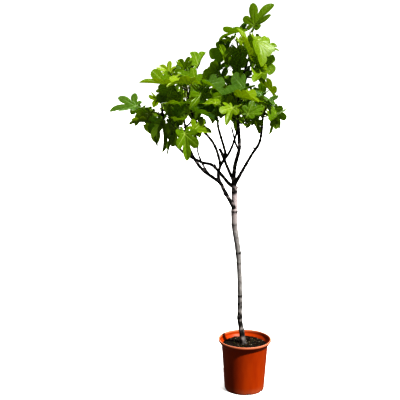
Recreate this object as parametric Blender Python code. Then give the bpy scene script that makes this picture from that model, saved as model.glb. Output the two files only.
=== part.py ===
"""A young fig tree in a plain nursery pot.

Metres, +Z up. The origin is the centre of the pot's flat underside. +X runs to the right and +Y
runs away from the side the tree is mostly seen from.
"""
import math
import random
from collections import namedtuple

import bmesh
import bpy
from mathutils import Matrix, Vector
from mathutils.bvhtree import BVHTree

# Pot
POT_HEIGHT = 0.256
RIM_RADIUS = 0.130
RIM_DEPTH = 0.018
NECK_RADIUS = 0.1135
FOOT_RADIUS = 0.0975
WALL = 0.0025
FLOOR_LEVEL = 0.009
FOOT_WIDTH = 0.012
FOOT_RECESS = 0.005
CENTRE_PAD_RADIUS = 0.026
FOOT_NOTCHES = 8
NOTCH_WIDTH = 0.020
NOTCH_DEPTH = 0.0065
NOTCH_TURN_DEGREES = 9
POT_SEGMENTS = 36

# Potting mix
SOIL_LEVEL = 0.225
SOIL_EDGE_DROP = 0.006
GAP = 0.0003

# The spacing of points along every limb's curve
CURVE_STEP = 0.004

# Trunk
TRUNK_RADIUS = 0.0115
FLARE = 0.0045
FLARE_HEIGHT = 0.022
TRUNK_SIDES = 10
KNOT_SWELL = 0.0022
KNOT_HALF_LENGTH = 0.009
KNOT_HEIGHTS = (0.300, 0.362, 0.475, 0.640, 0.690, 0.830, 0.893, 0.990)
TRUNK_ROUTE = (
    (-0.007, 0.0, SOIL_LEVEL + GAP),
    (-0.013, 0.0, 0.278),
    (-0.025, 0.0, 0.360),
    (-0.025, 0.0, 0.475),
    (-0.030, 0.0, 0.614),
    (-0.038, 0.0, 0.710),
    (-0.055, 0.0, 0.830),
    (-0.0555, 0.0, 0.949),
    (-0.060, 0.0, 1.055),
)
TRUNK_GIRTH = ((0.0, 1.02), (0.12, 0.95), (0.45, 0.88), (0.70, 1.12), (0.83, 1.18), (1.0, 0.86))

# Boughs: the limbs each one's foot is cut to, its radius at both ends, and the places it bends
# through. The leader has none, because it stands on the trunk's end.
BOUGH_SIDES = 8
BOUGH_RING_STEP = 12
Bough = namedtuple("Bough", "parents start_radius tip_radius route")
BOUGHS = {
    "leader": Bough((), 0.0088, 0.0058, (
        (-0.060, 0.0, 1.055), (-0.0553, 0.010, 1.109), (-0.0353, 0.025, 1.186),
        (-0.0345, 0.030, 1.233), (-0.0432, 0.040, 1.364))),
    "low_left_bough": Bough(("trunk",), 0.0085, 0.0048, (
        (-0.0565, 0.0, 0.910), (-0.1045, -0.035, 0.997), (-0.1291, -0.050, 1.042),
        (-0.2127, -0.095, 1.112), (-0.2652, -0.125, 1.201), (-0.282, -0.140, 1.277))),
    "left_bough": Bough(("trunk",), 0.0070, 0.0045, (
        (-0.0582, 0.0, 1.012), (-0.0847, 0.010, 1.029), (-0.1572, 0.050, 1.107),
        (-0.2157, 0.075, 1.122), (-0.310, 0.110, 1.1735), (-0.3878, 0.140, 1.270),
        (-0.4018, 0.150, 1.343))),
    "right_bough": Bough(("trunk",), 0.0068, 0.0045, (
        (-0.057, 0.0, 1.024), (-0.0373, -0.010, 1.060), (0.0164, -0.045, 1.165),
        (0.0554, -0.065, 1.235), (0.067, -0.070, 1.335))),
    "back_right_bough": Bough(("trunk", "leader", "right_bough"), 0.0060, 0.0042, (
        (-0.058, 0.0, 1.034), (-0.0363, 0.016, 1.059), (0.0234, 0.065, 1.152),
        (0.0699, 0.120, 1.216), (0.0867, 0.170, 1.307))),
    "middle_bough": Bough(("trunk", "leader"), 0.0065, 0.0045, (
        (-0.0595, 0.0, 1.040), (-0.0838, 0.020, 1.0895), (-0.1025, 0.040, 1.138),
        (-0.0998, 0.055, 1.1725), (-0.1306, 0.090, 1.279), (-0.1387, 0.100, 1.332))),
    "back_bough": Bough(("leader",), 0.0055, 0.0042, (
        (-0.0345, 0.030, 1.233), (-0.032, 0.090, 1.272), (-0.0347, 0.160, 1.327))),
    "back_left_bough": Bough(("left_bough",), 0.0052, 0.0042, (
        (-0.2554, 0.0900, 1.1445), (-0.2686, 0.140, 1.171), (-0.288, 0.200, 1.2455),
        (-0.2994, 0.235, 1.315))),
    "upper_left_bough": Bough(("low_left_bough",), 0.0058, 0.0046, (
        (-0.1291, -0.050, 1.042), (-0.1355, -0.055, 1.087), (-0.1273, -0.055, 1.1315),
        (-0.1563, -0.045, 1.2215), (-0.2275, -0.035, 1.309), (-0.2576, -0.030, 1.364))),
    "front_bough": Bough(("upper_left_bough",), 0.0050, 0.0042, (
        (-0.1275, -0.0552, 1.122), (-0.0847, -0.075, 1.187), (-0.0602, -0.095, 1.254),
        (-0.0477, -0.110, 1.3105))),
    "middle_stub": Bough(("middle_bough",), 0.0062, 0.0056, (
        (-0.1025, 0.040, 1.138), (-0.1155, 0.035, 1.167), (-0.1273, 0.030, 1.192))),
    "low_left_spur": Bough(("low_left_bough",), 0.0038, 0.0026, (
        (-0.1834, -0.0795, 1.0865), (-0.2159, -0.100, 1.150), (-0.2324, -0.110, 1.201),
        (-0.2278, -0.115, 1.226))),
    "leader_spur": Bough(("leader",), 0.0038, 0.0028, (
        (-0.0353, 0.025, 1.186), (-0.0502, 0.015, 1.213), (-0.0563, 0.010, 1.235),
        (-0.074, -0.020, 1.298))),
}

# Foliage: the bough each mass grows on from, the places its stem bends through, the stem's own
# leaves and seed, and its side shoots as (share of the stem's length, tip, leaves, seed). An aim
# is the compass direction and rise, in degrees, and the size of a shoot's topmost leaf.
Mass = namedtuple("Mass", "bough stem leaves seed shoots aim", defaults=(None,))
MASSES = {
    "leader_foliage": Mass("leader", (
        (-0.039, 0.045, 1.430), (-0.030, 0.045, 1.495), (-0.005, 0.040, 1.579),
        (0.012, 0.030, 1.643), (0.010, 0.020, 1.736)), 5, 149, (
            (0.12, (-0.004, -0.030, 1.461), 2, 307),
            (0.15, (-0.071, 0.020, 1.459), 2, 304, (120, 60, 0.9)),
            (0.38, (-0.073, -0.020, 1.579), 3, 53, (190, -35, 0.95)),
            (0.45, (0.069, 0.020, 1.542), 3, 387),
            (0.50, (0.016, -0.060, 1.597), 3, 134),
            (0.55, (-0.050, 0.050, 1.692), 3, 328, (125, 32, 1.08)),
            (0.55, (0.010, 0.140, 1.616), 3, 360),
            (0.72, (0.065, 0.000, 1.651), 3, 328, (0, 30, 0.9))), (-5, 60, 1.16)),
    "upper_left_foliage": Mass("upper_left_bough", (
        (-0.271, -0.030, 1.415), (-0.281, -0.030, 1.479), (-0.285, -0.035, 1.543)), 3, 38, (
            (0.25, (-0.202, -0.060, 1.489), 3, 398, (-20, 15, 1.0)),
            (0.25, (-0.339, -0.070, 1.480), 3, 137, (190, 5, 1.1)),
            (0.30, (-0.296, 0.070, 1.476), 3, 291),
            (0.45, (-0.265, -0.130, 1.491), 3, 283),
            (0.60, (-0.239, 0.000, 1.560), 2, 338, (60, 60, 0.85)),
            (0.60, (-0.344, -0.040, 1.534), 3, 108, (175, 10, 1.0)))),
    "left_foliage": Mass("left_bough", (
        (-0.405, 0.155, 1.374), (-0.415, 0.155, 1.425)), 4, 361, (
            (0.06, (-0.494, 0.125, 1.380), 3, 366, (182, 8, 1.17)),
            (0.30, (-0.345, 0.100, 1.399), 3, 218),
            (0.20, (-0.431, 0.250, 1.351), 3, 327),
            (0.10, (-0.441, 0.080, 1.314), 3, 64, (200, -30, 1.0)))),
    "low_left_foliage": Mass("low_left_bough", (
        (-0.291, -0.150, 1.336), (-0.296, -0.155, 1.395)), 4, 90, (
            (0.10, (-0.354, -0.180, 1.334), 3, 306, (205, -62, 1.1)),
            (0.25, (-0.243, -0.200, 1.371), 3, 258),
            (0.15, (-0.291, -0.240, 1.295), 3, 368, (290, -62, 1.05)),
            (0.20, (-0.285, -0.070, 1.316), 3, 284))),
    "middle_foliage": Mass("middle_bough", (
        (-0.153, 0.100, 1.399), (-0.139, 0.090, 1.451), (-0.121, 0.085, 1.485)), 4, 330, (
            (0.15, (-0.206, 0.060, 1.420), 3, 108),
            (0.35, (-0.085, 0.130, 1.426), 3, 160),
            (0.30, (-0.171, 0.190, 1.413), 3, 143),
            (0.30, (-0.174, 0.020, 1.440), 3, 119)), (100, 68, 0.9)),
    "front_foliage": Mass("front_bough", (
        (-0.053, -0.115, 1.374), (-0.063, -0.120, 1.419)), 4, 185, (
            (0.20, (-0.118, -0.170, 1.404), 3, 138),
            (0.15, (-0.010, -0.160, 1.350), 3, 36),
            (0.20, (-0.063, -0.230, 1.355), 3, 115),
            (0.25, (-0.022, -0.095, 1.332), 1, 221, (-40, -62, 0.62)))),
    "right_foliage": Mass("right_bough", (
        (0.080, -0.067, 1.385), (0.084, -0.065, 1.421), (0.104, -0.060, 1.430)), 4, 22, (
            (0.20, (0.021, -0.080, 1.408), 3, 133),
            (0.25, (0.130, -0.050, 1.370), 3, 36, (-10, -35, 0.85)),
            (0.20, (0.056, -0.170, 1.378), 3, 68)), (150, 45, 0.9)),
    "back_left_foliage": Mass("back_left_bough", (
        (-0.299, 0.250, 1.351), (-0.285, 0.260, 1.410)), 4, 12, (
            (0.20, (-0.357, 0.300, 1.348), 3, 150),
            (0.30, (-0.241, 0.280, 1.369), 3, 231))),
    "back_right_foliage": Mass("back_right_bough", (
        (0.084, 0.190, 1.374), (0.070, 0.200, 1.423)), 4, 368, (
            (0.20, (0.137, 0.220, 1.363), 3, 16),
            (0.30, (0.040, 0.260, 1.360), 3, 107))),
    "back_foliage": Mass("back_bough", (
        (-0.033, 0.210, 1.383), (-0.017, 0.230, 1.431), (-0.042, 0.240, 1.480)), 4, 304, (
            (0.20, (-0.090, 0.260, 1.360), 3, 65),
            (0.35, (0.002, 0.310, 1.408), 3, 303))),
}

# How a shoot grows
Shoot = namedtuple("Shoot", "path heading radius leaves seed aim")
AIM_SPREAD = 6
AIM_SUN = 1.5
SUN_RANGE = (0.1, 1.1)
SIDE_SHOOT_SAG = 0.012
SPIRAL_DEGREES = 137.5
INTERNODE = 0.017
FIRST_NODE = 0.008
LOWEST_NODE = 3
BUD_LENGTH = 0.016
SHOOT_RADIUS = 0.0042
SHOOT_SIDES = 5
SHOOT_RING_STEP = 12
STALK_RADIUS = 0.0022
STALK_CORNERS = (135, 225, 315, 45)
YOUNG_STALK = 0.040
OLD_STALK = 0.070
STALK_SPREAD = (-0.010, 0.012)
ELBOW_SHARE = 0.55
YOUNG_LEAN = 30
OLD_LEAN = 75
YOUNG_RISE = 32
OLD_RISE = -63
STEEPEST_FALL = -84
STEEPEST_RISE = 75
RISE_SPREAD = 14
TURN_SPREAD = 8
TURN_SPREAD_PER_TRY = 5
SHRINK_PER_TRY = 0.008
TRIES = 30
CLEARANCE = 0.0015
SUNWARD = Vector((0.30, -0.80, 0.52))
CROWN_LOW = Vector((-0.685, -0.36, 1.12))
CROWN_HIGH = Vector((0.195, 0.44, 1.866))

# A leaf one unit long: its lobes as (degrees from the midrib, length, half width)
LOBES = ((0, 1.0, 0.28), (38, 0.78, 0.24), (92, 0.47, 0.24))
NOTCH = 0.09
HALF_OUTLINE_DEGREES = (18, 38, 62, 92, 134, 170)
LEAF_LENGTH = 0.112
LEAF_SIZES = (0.72, 1.16)
LEAF_THICKNESS = 0.0018
LEAF_ROLL = 16
FOLD_RANGE = (0.12, 0.75)
CURL_RANGE = (0.08, 0.40)
TEST_GROWTH = 1.03

# Finishes, as sRGB colours
COLOURS = {
    "pot": "#B04A12",
    "potting_mix": "#3A2B21",
    "bark": "#8E8780",
    "young_bark": "#4A4038",
    "leaf": "#4F7A18",
}


def clear_scene():
    """Remove every object that the file opened with."""
    for item in list(bpy.data.objects):
        bpy.data.objects.remove(item, do_unlink=True)


def linear_colour(code):
    """A Blender colour from an sRGB hex code."""
    channels = [int(code[i:i + 2], 16) / 255 for i in (1, 3, 5)]
    steps = [c / 12.92 if c <= 0.04045 else ((c + 0.055) / 1.055) ** 2.4 for c in channels]
    return (*steps, 1.0)


def finish(item, colour, roughness):
    """Give an object its own Principled material."""
    material = bpy.data.materials.new(item.name)
    material.use_nodes = True
    shader = material.node_tree.nodes["Principled BSDF"]
    shader.inputs["Base Color"].default_value = linear_colour(COLOURS[colour])
    shader.inputs["Roughness"].default_value = roughness
    shader.inputs["Metallic"].default_value = 0.0
    item.data.materials.clear()
    item.data.materials.append(material)


def add_object(name, points, faces):
    """A mesh object from corner points and faces."""
    mesh = bpy.data.meshes.new(name)
    mesh.from_pydata(points, [], faces)
    item = bpy.data.objects.new(name, mesh)
    bpy.context.collection.objects.link(item)
    return item


def shade_round(item, degrees=50):
    """Shade an object smooth, with edges sharper than an angle kept."""
    item.data.shade_smooth()
    item.data.set_sharp_from_angle(angle=math.radians(degrees))


def turned_solid(name, profile, segments):
    """Spin a closed outline of (radius, height) points round the Z axis."""
    shape = bmesh.new()
    corners = [shape.verts.new((radius, 0.0, height)) for radius, height in profile]
    edges = [shape.edges.new(pair) for pair in zip(corners, corners[1:] + corners[:1])
             if pair[0].co.x > 0 or pair[1].co.x > 0]
    bmesh.ops.spin(shape, geom=corners + edges, axis=(0, 0, 1), cent=(0, 0, 0),
                   angle=math.tau, steps=segments, use_merge=True)
    bmesh.ops.remove_doubles(shape, verts=shape.verts, dist=1e-6)
    bmesh.ops.recalc_face_normals(shape, faces=shape.faces)
    mesh = bpy.data.meshes.new(name)
    shape.to_mesh(mesh)
    shape.free()
    item = bpy.data.objects.new(name, mesh)
    bpy.context.collection.objects.link(item)
    return item


def settle_boolean(item, operation, operand, solver="EXACT"):
    """Apply a Boolean with an object or a collection, and keep only the result's largest body."""
    tool = item.modifiers.new("join", "BOOLEAN")
    tool.operation = operation
    tool.solver = solver
    if isinstance(operand, bpy.types.Collection):
        tool.operand_type = "COLLECTION"
        tool.collection = operand
    else:
        tool.object = operand
    result = bpy.data.meshes.new_from_object(item.evaluated_get(bpy.context.evaluated_depsgraph_get()))
    item.modifiers.clear()
    item.data = result
    keep_largest_body(result)


def keep_largest_body(mesh):
    """Drop loose scraps and the walls of sealed hollows."""
    shape = bmesh.new()
    shape.from_mesh(mesh)
    bmesh.ops.remove_doubles(shape, verts=shape.verts, dist=2e-6)
    bmesh.ops.dissolve_degenerate(shape, edges=shape.edges, dist=2e-6)
    left = set(shape.faces)
    bodies = []
    while left:
        reached = [left.pop()]
        body = []
        while reached:
            face = reached.pop()
            body.append(face)
            for edge in face.edges:
                for neighbour in edge.link_faces:
                    if neighbour in left:
                        left.remove(neighbour)
                        reached.append(neighbour)
        bodies.append(body)
    bodies.sort(key=lambda body: sum(face.calc_area() for face in body))
    scraps = [face for body in bodies[:-1] for face in body]
    bmesh.ops.delete(shape, geom=scraps, context="FACES")
    shape.to_mesh(mesh)
    shape.free()


def curve_through(points):
    """Close points on a Catmull-Rom curve through the given ones."""
    knots = [Vector(point) for point in points]
    knots = [2 * knots[0] - knots[1], *knots, 2 * knots[-1] - knots[-2]]
    path = []
    for before, start, end, after in zip(knots, knots[1:], knots[2:], knots[3:]):
        count = max(1, round((end - start).length / CURVE_STEP))
        for index in range(count):
            t = index / count
            path.append(0.5 * (2 * start + (end - before) * t
                               + (2 * before - 5 * start + 4 * end - after) * t * t
                               + (3 * start - before - 3 * end + after) * t ** 3))
    return path + [knots[-2]]


def headings_of(path):
    """The direction of travel at each point of a path."""
    ends = [path[0], *path, path[-1]]
    return [(after - before).normalized() for before, after in zip(ends, ends[2:])]


def tube(places, headings, radii, sides):
    """Corner points and faces of a closed round tube."""
    points = []
    faces = []
    across = headings[0].orthogonal().normalized()
    for place, heading, radius in zip(places, headings, radii):
        across = (across - heading * across.dot(heading)).normalized()
        other = heading.cross(across)
        for corner in range(sides):
            turn = math.tau * corner / sides
            points.append(place + (across * math.cos(turn) + other * math.sin(turn)) * radius)
    for ring in range(len(places) - 1):
        for corner in range(sides):
            low = ring * sides + corner
            low_next = ring * sides + (corner + 1) % sides
            faces.append((low, low_next, low_next + sides, low + sides))
    faces.append(tuple(reversed(range(sides))))
    faces.append(tuple(range(len(points) - sides, len(points))))
    return points, faces


def leaf_reach(angle):
    """Distance from the stalk's joint to the edge of a unit leaf, at an angle from the midrib."""
    reach = NOTCH
    for centre, length, half_width in LOBES:
        for heading in (centre, -centre):
            off = math.radians(angle - heading)
            if math.cos(off) > 0:
                stretch = length / 2 / half_width
                spread = math.cos(off) ** 2 + (stretch * math.sin(off)) ** 2
                reach = max(reach, length * math.cos(off) / spread)
    return reach


def leaf_blade(joint, midrib, normal, length, fold, curl, thickness, grown=1.0):
    """Corner points and faces of a lobed blade, folded up along its midrib and curled down."""
    across = normal.cross(midrib)
    angles = [*(-a for a in reversed(HALF_OUTLINE_DEGREES)), 0, *HALF_OUTLINE_DEGREES]
    middle = [joint.copy()]
    for angle in angles:
        reach = leaf_reach(angle) * length * grown
        ahead = reach * math.cos(math.radians(angle))
        aside = reach * math.sin(math.radians(angle))
        lift = fold * abs(aside) - curl * ahead * abs(ahead) / length
        middle.append(joint + midrib * ahead + across * aside + normal * lift)
    half = normal * (thickness / 2)
    count = len(middle)
    points = [point + half for point in middle] + [point - half for point in middle]
    faces = []
    for index in range(1, count):
        after = index % (count - 1) + 1
        faces.append((0, index, after))
        faces.append((count, after + count, index + count))
        faces.append((index, index + count, after + count))
        faces.append((index, after + count, after))
    return points, faces


def stalked(blade, across, bends):
    """A blade's skin carried on from its notch down a square stalk that ends inside the shoot."""
    points = list(blade[0])
    faces = blade[1][:-2]
    count = len(points) // 2
    rings = []
    for bend, heading in zip(bends[:-1], headings_of(bends)):
        aside = (across - heading * across.dot(heading)).normalized()
        rise = heading.cross(aside)
        rings.append(range(len(points), len(points) + len(STALK_CORNERS)))
        for corner in STALK_CORNERS:
            turn = math.radians(corner)
            points.append(bend + (aside * math.cos(turn) + rise * math.sin(turn)) * STALK_RADIUS)
    rings.append((1, 1 + count, 2 * count - 1, count - 1))
    for ring, after in zip(rings, rings[1:]):
        for corner in range(4):
            follow = (corner + 1) % 4
            faces.append((ring[corner], ring[follow], after[follow], after[corner]))
    faces.append(tuple(reversed(rings[0])))
    return points, faces


class Space:
    """What already fills the air round the tree, for testing a new leaf against."""

    def __init__(self):
        self.held = []

    def add(self, points, faces):
        """Hold one more closed shape."""
        self.held.append(self.entry(points, faces))

    def entry(self, points, faces):
        """A shape's middle, reach and search tree."""
        middle = sum(points, Vector()) / len(points)
        reach = max((point - middle).length for point in points)
        return middle, reach, BVHTree.FromPolygons(points, faces)

    def is_clear(self, points, faces):
        """True where a shape touches nothing held."""
        middle, reach, tree = self.entry(points, faces)
        near = (held for centre, size, held in self.held if (centre - middle).length < reach + size)
        return not any(tree.overlap(held) for held in near)


def crosses_itself(points, faces):
    """True where a shape's skin passes through itself."""
    tree = BVHTree.FromPolygons(points, faces)
    return any(not set(faces[one]) & set(faces[other]) for one, other in tree.overlap(tree))


def within_crown(points):
    """True where every point is inside the crown's limits."""
    return all(CROWN_LOW[i] < point[i] < CROWN_HIGH[i] for point in points for i in range(3))


def stalk_bends(place, outward, midrib, stalk_length, length):
    """The places a leaf stalk bends through, from the shoot to just short of the blade's joint."""
    elbow = place + outward * stalk_length * ELBOW_SHARE
    onward = (outward * (1 - ELBOW_SHARE) + midrib * ELBOW_SHARE).normalized()
    joint = elbow + onward * stalk_length * (1 - ELBOW_SHARE)
    seat = joint - midrib * NOTCH * length
    return (place, elbow, seat), joint


def try_leaf(space, place, heading, lean, azimuth, elevation, stalk_length, length, sun, dice):
    """One leaf on its stalk, or None where it would touch something."""
    level = Vector((math.cos(azimuth), math.sin(azimuth), 0.0))
    outward = (heading * math.cos(lean) + level * math.sin(lean)).normalized()
    midrib = level * math.cos(elevation) + Vector((0, 0, 1)) * math.sin(elevation)
    upright = Vector((0, 0, 1)) * math.cos(elevation) - level * math.sin(elevation)
    facing = upright + SUNWARD * sun
    facing = (facing - midrib * facing.dot(midrib)).normalized()
    normal = Matrix.Rotation(math.radians(dice.gauss(0, LEAF_ROLL)), 3, midrib) @ facing
    fold = dice.uniform(*FOLD_RANGE)
    curl = dice.uniform(*CURL_RANGE)
    bends, joint = stalk_bends(place, outward, midrib, stalk_length, length)
    blade = leaf_blade(joint, midrib, normal, length, fold, curl, LEAF_THICKNESS)
    wide = leaf_blade(joint, midrib, normal, length, fold, curl,
                      LEAF_THICKNESS + 2 * CLEARANCE, TEST_GROWTH)
    off_shoot = place + outward * (SHOOT_RADIUS + STALK_RADIUS + CLEARANCE)
    tested = (off_shoot, bends[1], bends[2] - midrib * CLEARANCE)
    test_stalk = tube(tested, headings_of(tested), [STALK_RADIUS + CLEARANCE] * 3, len(STALK_CORNERS))
    if not within_crown(blade[0]) or not space.is_clear(*wide) or not space.is_clear(*test_stalk):
        return None
    leaf = stalked(blade, normal.cross(midrib), bends)
    if crosses_itself(*leaf):
        return None
    space.add(*blade)
    space.add(*test_stalk)
    return leaf


def grow_leaves(space, shoot):
    """Leaves set in a spiral down a shoot from its tip, the young ones raised, the old ones hanging."""
    headings = headings_of(shoot.path)
    start_turn = random.Random(shoot.seed).uniform(0, 360)
    leaves = []
    travelled = FIRST_NODE
    for order in range(shoot.leaves):
        index = len(shoot.path) - 1 - round(travelled / CURVE_STEP)
        if index < LOWEST_NODE:
            break
        age = order / max(3, shoot.leaves - 1)
        dice = random.Random(shoot.seed * 1000 + order)
        length = LEAF_LENGTH * dice.uniform(*LEAF_SIZES)
        aimed = shoot.aim is not None and order == 0
        stalk_length = YOUNG_STALK + (OLD_STALK - YOUNG_STALK) * age + dice.uniform(*STALK_SPREAD)
        lean = math.radians(YOUNG_LEAN + (OLD_LEAN - YOUNG_LEAN) * age)
        for attempt in range(TRIES):
            spread = TURN_SPREAD + TURN_SPREAD_PER_TRY * attempt
            azimuth = start_turn + SPIRAL_DEGREES * order + dice.uniform(-spread, spread)
            elevation = YOUNG_RISE + (OLD_RISE - YOUNG_RISE) * age ** 0.75
            elevation += dice.gauss(0, RISE_SPREAD + attempt)
            sun = dice.uniform(*SUN_RANGE)
            if aimed:
                azimuth = shoot.aim[0] + dice.gauss(0, AIM_SPREAD + attempt)
                elevation = shoot.aim[1] + dice.gauss(0, AIM_SPREAD + attempt)
                length = LEAF_LENGTH * shoot.aim[2]
                sun = AIM_SUN
            elevation = max(STEEPEST_FALL, min(STEEPEST_RISE, elevation))
            leaf = try_leaf(space, shoot.path[index], headings[index], lean, math.radians(azimuth),
                            math.radians(elevation), stalk_length,
                            length * (1 - SHRINK_PER_TRY * attempt), sun, dice)
            if leaf:
                leaves.append(leaf)
                break
        travelled += INTERNODE * dice.uniform(0.7, 1.3)
    return leaves


def shoot_radii(path, start_radius):
    """A shoot's radius at each point of its path, pointed at its bud."""
    radii = []
    length = (len(path) - 1) * CURVE_STEP
    for index in range(len(path)):
        to_tip = length - index * CURVE_STEP
        radius = SHOOT_RADIUS + (start_radius - SHOOT_RADIUS) * to_tip / length
        radii.append(radius * (0.12 + 0.88 * min(1.0, to_tip / BUD_LENGTH)))
    return radii


def every(items, step):
    """Every so many items of a list of four or more, with its third last and its last."""
    return [*items[:-3:step], items[-3], items[-1]]


def shoot_tube(shoot):
    """A shoot's closed tube, in a few rings."""
    rings = every(range(len(shoot.path)), SHOOT_RING_STEP)
    headings = headings_of(shoot.path)
    headings[0] = shoot.heading
    radii = shoot_radii(shoot.path, shoot.radius)
    return tube([shoot.path[i] for i in rings], [headings[i] for i in rings],
                [radii[i] for i in rings], SHOOT_SIDES)


def bough_path(name):
    """The whole path of a bough and of the stem that grows on from it, and where the stem begins."""
    bough = BOUGHS[name]
    stem = next((mass.stem for mass in MASSES.values() if mass.bough == name), ())
    whole = curve_through((*bough.route, *stem))
    tip = min(range(len(whole)), key=lambda i: (whole[i] - Vector(bough.route[-1])).length)
    return whole, tip


def bough_tube(name, extra=0.0):
    """A bough's closed tube, wider all round by extra."""
    bough = BOUGHS[name]
    whole, tip = bough_path(name)
    headings = headings_of(whole)
    if not bough.parents:
        headings[0] = headings_of(curve_through(TRUNK_ROUTE))[-1]
        whole[0] = whole[0] + headings[0] * GAP
    rings = [*range(0, tip, BOUGH_RING_STEP), tip]
    radii = [bough.start_radius + (bough.tip_radius - bough.start_radius) * i / tip + extra for i in rings]
    return tube([whole[i] for i in rings], [headings[i] for i in rings], radii, BOUGH_SIDES)


def trunk_girth(share):
    """The trunk's girth at a share of its length, against its middling girth."""
    for (low, thin), (high, thick) in zip(TRUNK_GIRTH, TRUNK_GIRTH[1:]):
        if share <= high:
            return thin + (thick - thin) * (share - low) / (high - low)
    return TRUNK_GIRTH[-1][1]


def trunk_tube(extra=0.0):
    """The trunk's closed tube: flared at the soil, swollen at each old leaf node."""
    path = curve_through(TRUNK_ROUTE)
    headings = headings_of(path)
    headings[0] = Vector((0, 0, 1))
    knots = [min(range(len(path)), key=lambda i: abs(path[i].z - height)) for height in KNOT_HEIGHTS]
    reach = round(KNOT_HALF_LENGTH / CURVE_STEP)
    rings = {0, 2, 5, len(path) - 1, *range(8, len(path) - 4, 8)}
    for knot in knots:
        rings -= set(range(knot - reach - 2, knot + reach + 3))
        rings |= {knot - reach, knot, knot + reach}
    rings = sorted(rings)
    radii = []
    for index in rings:
        rise = path[index].z - path[0].z
        radius = TRUNK_RADIUS * trunk_girth(index / (len(path) - 1))
        radius += FLARE * math.exp(-rise / FLARE_HEIGHT) + (KNOT_SWELL if index in knots else 0.0)
        radii.append(radius + extra)
    return tube([path[i] for i in rings], [headings[i] for i in rings], radii, TRUNK_SIDES)


def wall_radius(height):
    """The pot's outer radius on its tapering wall."""
    neck_height = POT_HEIGHT - RIM_DEPTH - 0.012
    return FOOT_RADIUS + (NECK_RADIUS - FOOT_RADIUS) * height / neck_height


def build_pot():
    """A thin tapering pot with a rolled rim, a stepped neck, a raised floor and a notched foot."""
    neck = POT_HEIGHT - RIM_DEPTH - 0.012
    profile = (
        (0.0, 0.0),
        (CENTRE_PAD_RADIUS, 0.0),
        (CENTRE_PAD_RADIUS + 0.002, FOOT_RECESS),
        (FOOT_RADIUS - FOOT_WIDTH - 0.002, FOOT_RECESS),
        (FOOT_RADIUS - FOOT_WIDTH, 0.0),
        (FOOT_RADIUS - 0.004, 0.0),
        (FOOT_RADIUS - 0.0008, 0.0022),
        (wall_radius(0.008), 0.008),
        (NECK_RADIUS, neck),
        (NECK_RADIUS + 0.0095, neck + 0.010),
        (RIM_RADIUS - 0.0045, POT_HEIGHT - 0.010),
        (RIM_RADIUS - 0.0004, POT_HEIGHT - 0.0078),
        (RIM_RADIUS, POT_HEIGHT - 0.0030),
        (RIM_RADIUS - 0.0030, POT_HEIGHT),
        (RIM_RADIUS - 0.0065, POT_HEIGHT - 0.0020),
        (RIM_RADIUS - 0.0075, POT_HEIGHT - 0.010),
        (NECK_RADIUS + 0.0075, neck + 0.0115),
        (NECK_RADIUS - WALL, neck - 0.002),
        (wall_radius(FLOOR_LEVEL + 0.004) - WALL, FLOOR_LEVEL + 0.004),
        (wall_radius(FLOOR_LEVEL) - WALL - 0.004, FLOOR_LEVEL),
        (0.0, FLOOR_LEVEL),
    )
    pot = turned_solid("pot", profile, POT_SEGMENTS)
    for index in range(FOOT_NOTCHES):
        cut_notch(pot, math.tau * index / FOOT_NOTCHES + math.radians(NOTCH_TURN_DEGREES))
    shade_round(pot, 35)
    finish(pot, "pot", 0.42)


def cut_notch(pot, turn):
    """Cut one drainage notch through the pot's foot ring."""
    shape = bmesh.new()
    bmesh.ops.create_cube(shape, size=1.0)
    size = Matrix.Diagonal((2.3 * FOOT_WIDTH, NOTCH_WIDTH, 2 * NOTCH_DEPTH, 1.0))
    place = Matrix.Translation((FOOT_RADIUS, 0.0, 0.0))
    bmesh.ops.transform(shape, matrix=Matrix.Rotation(turn, 4, "Z") @ place @ size, verts=shape.verts)
    top = [edge for edge in shape.edges if all(vert.co.z > 0 for vert in edge.verts)]
    bmesh.ops.bevel(shape, geom=top, offset=0.002, segments=1, affect="EDGES")
    mesh = bpy.data.meshes.new("notch")
    shape.to_mesh(mesh)
    shape.free()
    cutter = bpy.data.objects.new("notch", mesh)
    bpy.context.collection.objects.link(cutter)
    settle_boolean(pot, "DIFFERENCE", cutter)
    bpy.data.objects.remove(cutter, do_unlink=True)


def build_potting_mix():
    """The potting mix that fills the pot to just under its neck, a little higher at the trunk."""
    top = SOIL_LEVEL - SOIL_EDGE_DROP
    profile = (
        (0.0, FLOOR_LEVEL + GAP),
        (wall_radius(FLOOR_LEVEL) - WALL - 0.004 - GAP, FLOOR_LEVEL + GAP),
        (wall_radius(FLOOR_LEVEL + 0.004) - WALL - GAP, FLOOR_LEVEL + 0.004 + GAP),
        (wall_radius(top) - WALL - GAP, top),
        (0.075, SOIL_LEVEL - 0.003),
        (0.035, SOIL_LEVEL),
        (0.0, SOIL_LEVEL),
    )
    soil = turned_solid("potting_mix", profile, POT_SEGMENTS)
    shade_round(soil, 50)
    finish(soil, "potting_mix", 0.95)


def build_trunk(space):
    """The trunk, from its flat cut on the potting mix to its fork."""
    shell = trunk_tube()
    space.add(*shell)
    trunk = add_object("trunk", *shell)
    shade_round(trunk)
    finish(trunk, "bark", 0.8)


def cutter_for(parent):
    """A wire copy of a limb, wider by the gap that touching pieces keep."""
    shell = trunk_tube(GAP) if parent == "trunk" else bough_tube(parent, GAP)
    return add_object("cutter", *shell)


def build_bough(name, space):
    """One tapering bough, its foot cut to the limb that it leaves."""
    shell = bough_tube(name)
    space.add(*shell)
    bough = add_object(name, *shell)
    for parent in BOUGHS[name].parents:
        cutter = cutter_for(parent)
        settle_boolean(bough, "DIFFERENCE", cutter)
        bpy.data.objects.remove(cutter, do_unlink=True)
    shade_round(bough)
    finish(bough, "young_bark", 0.75)


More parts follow.
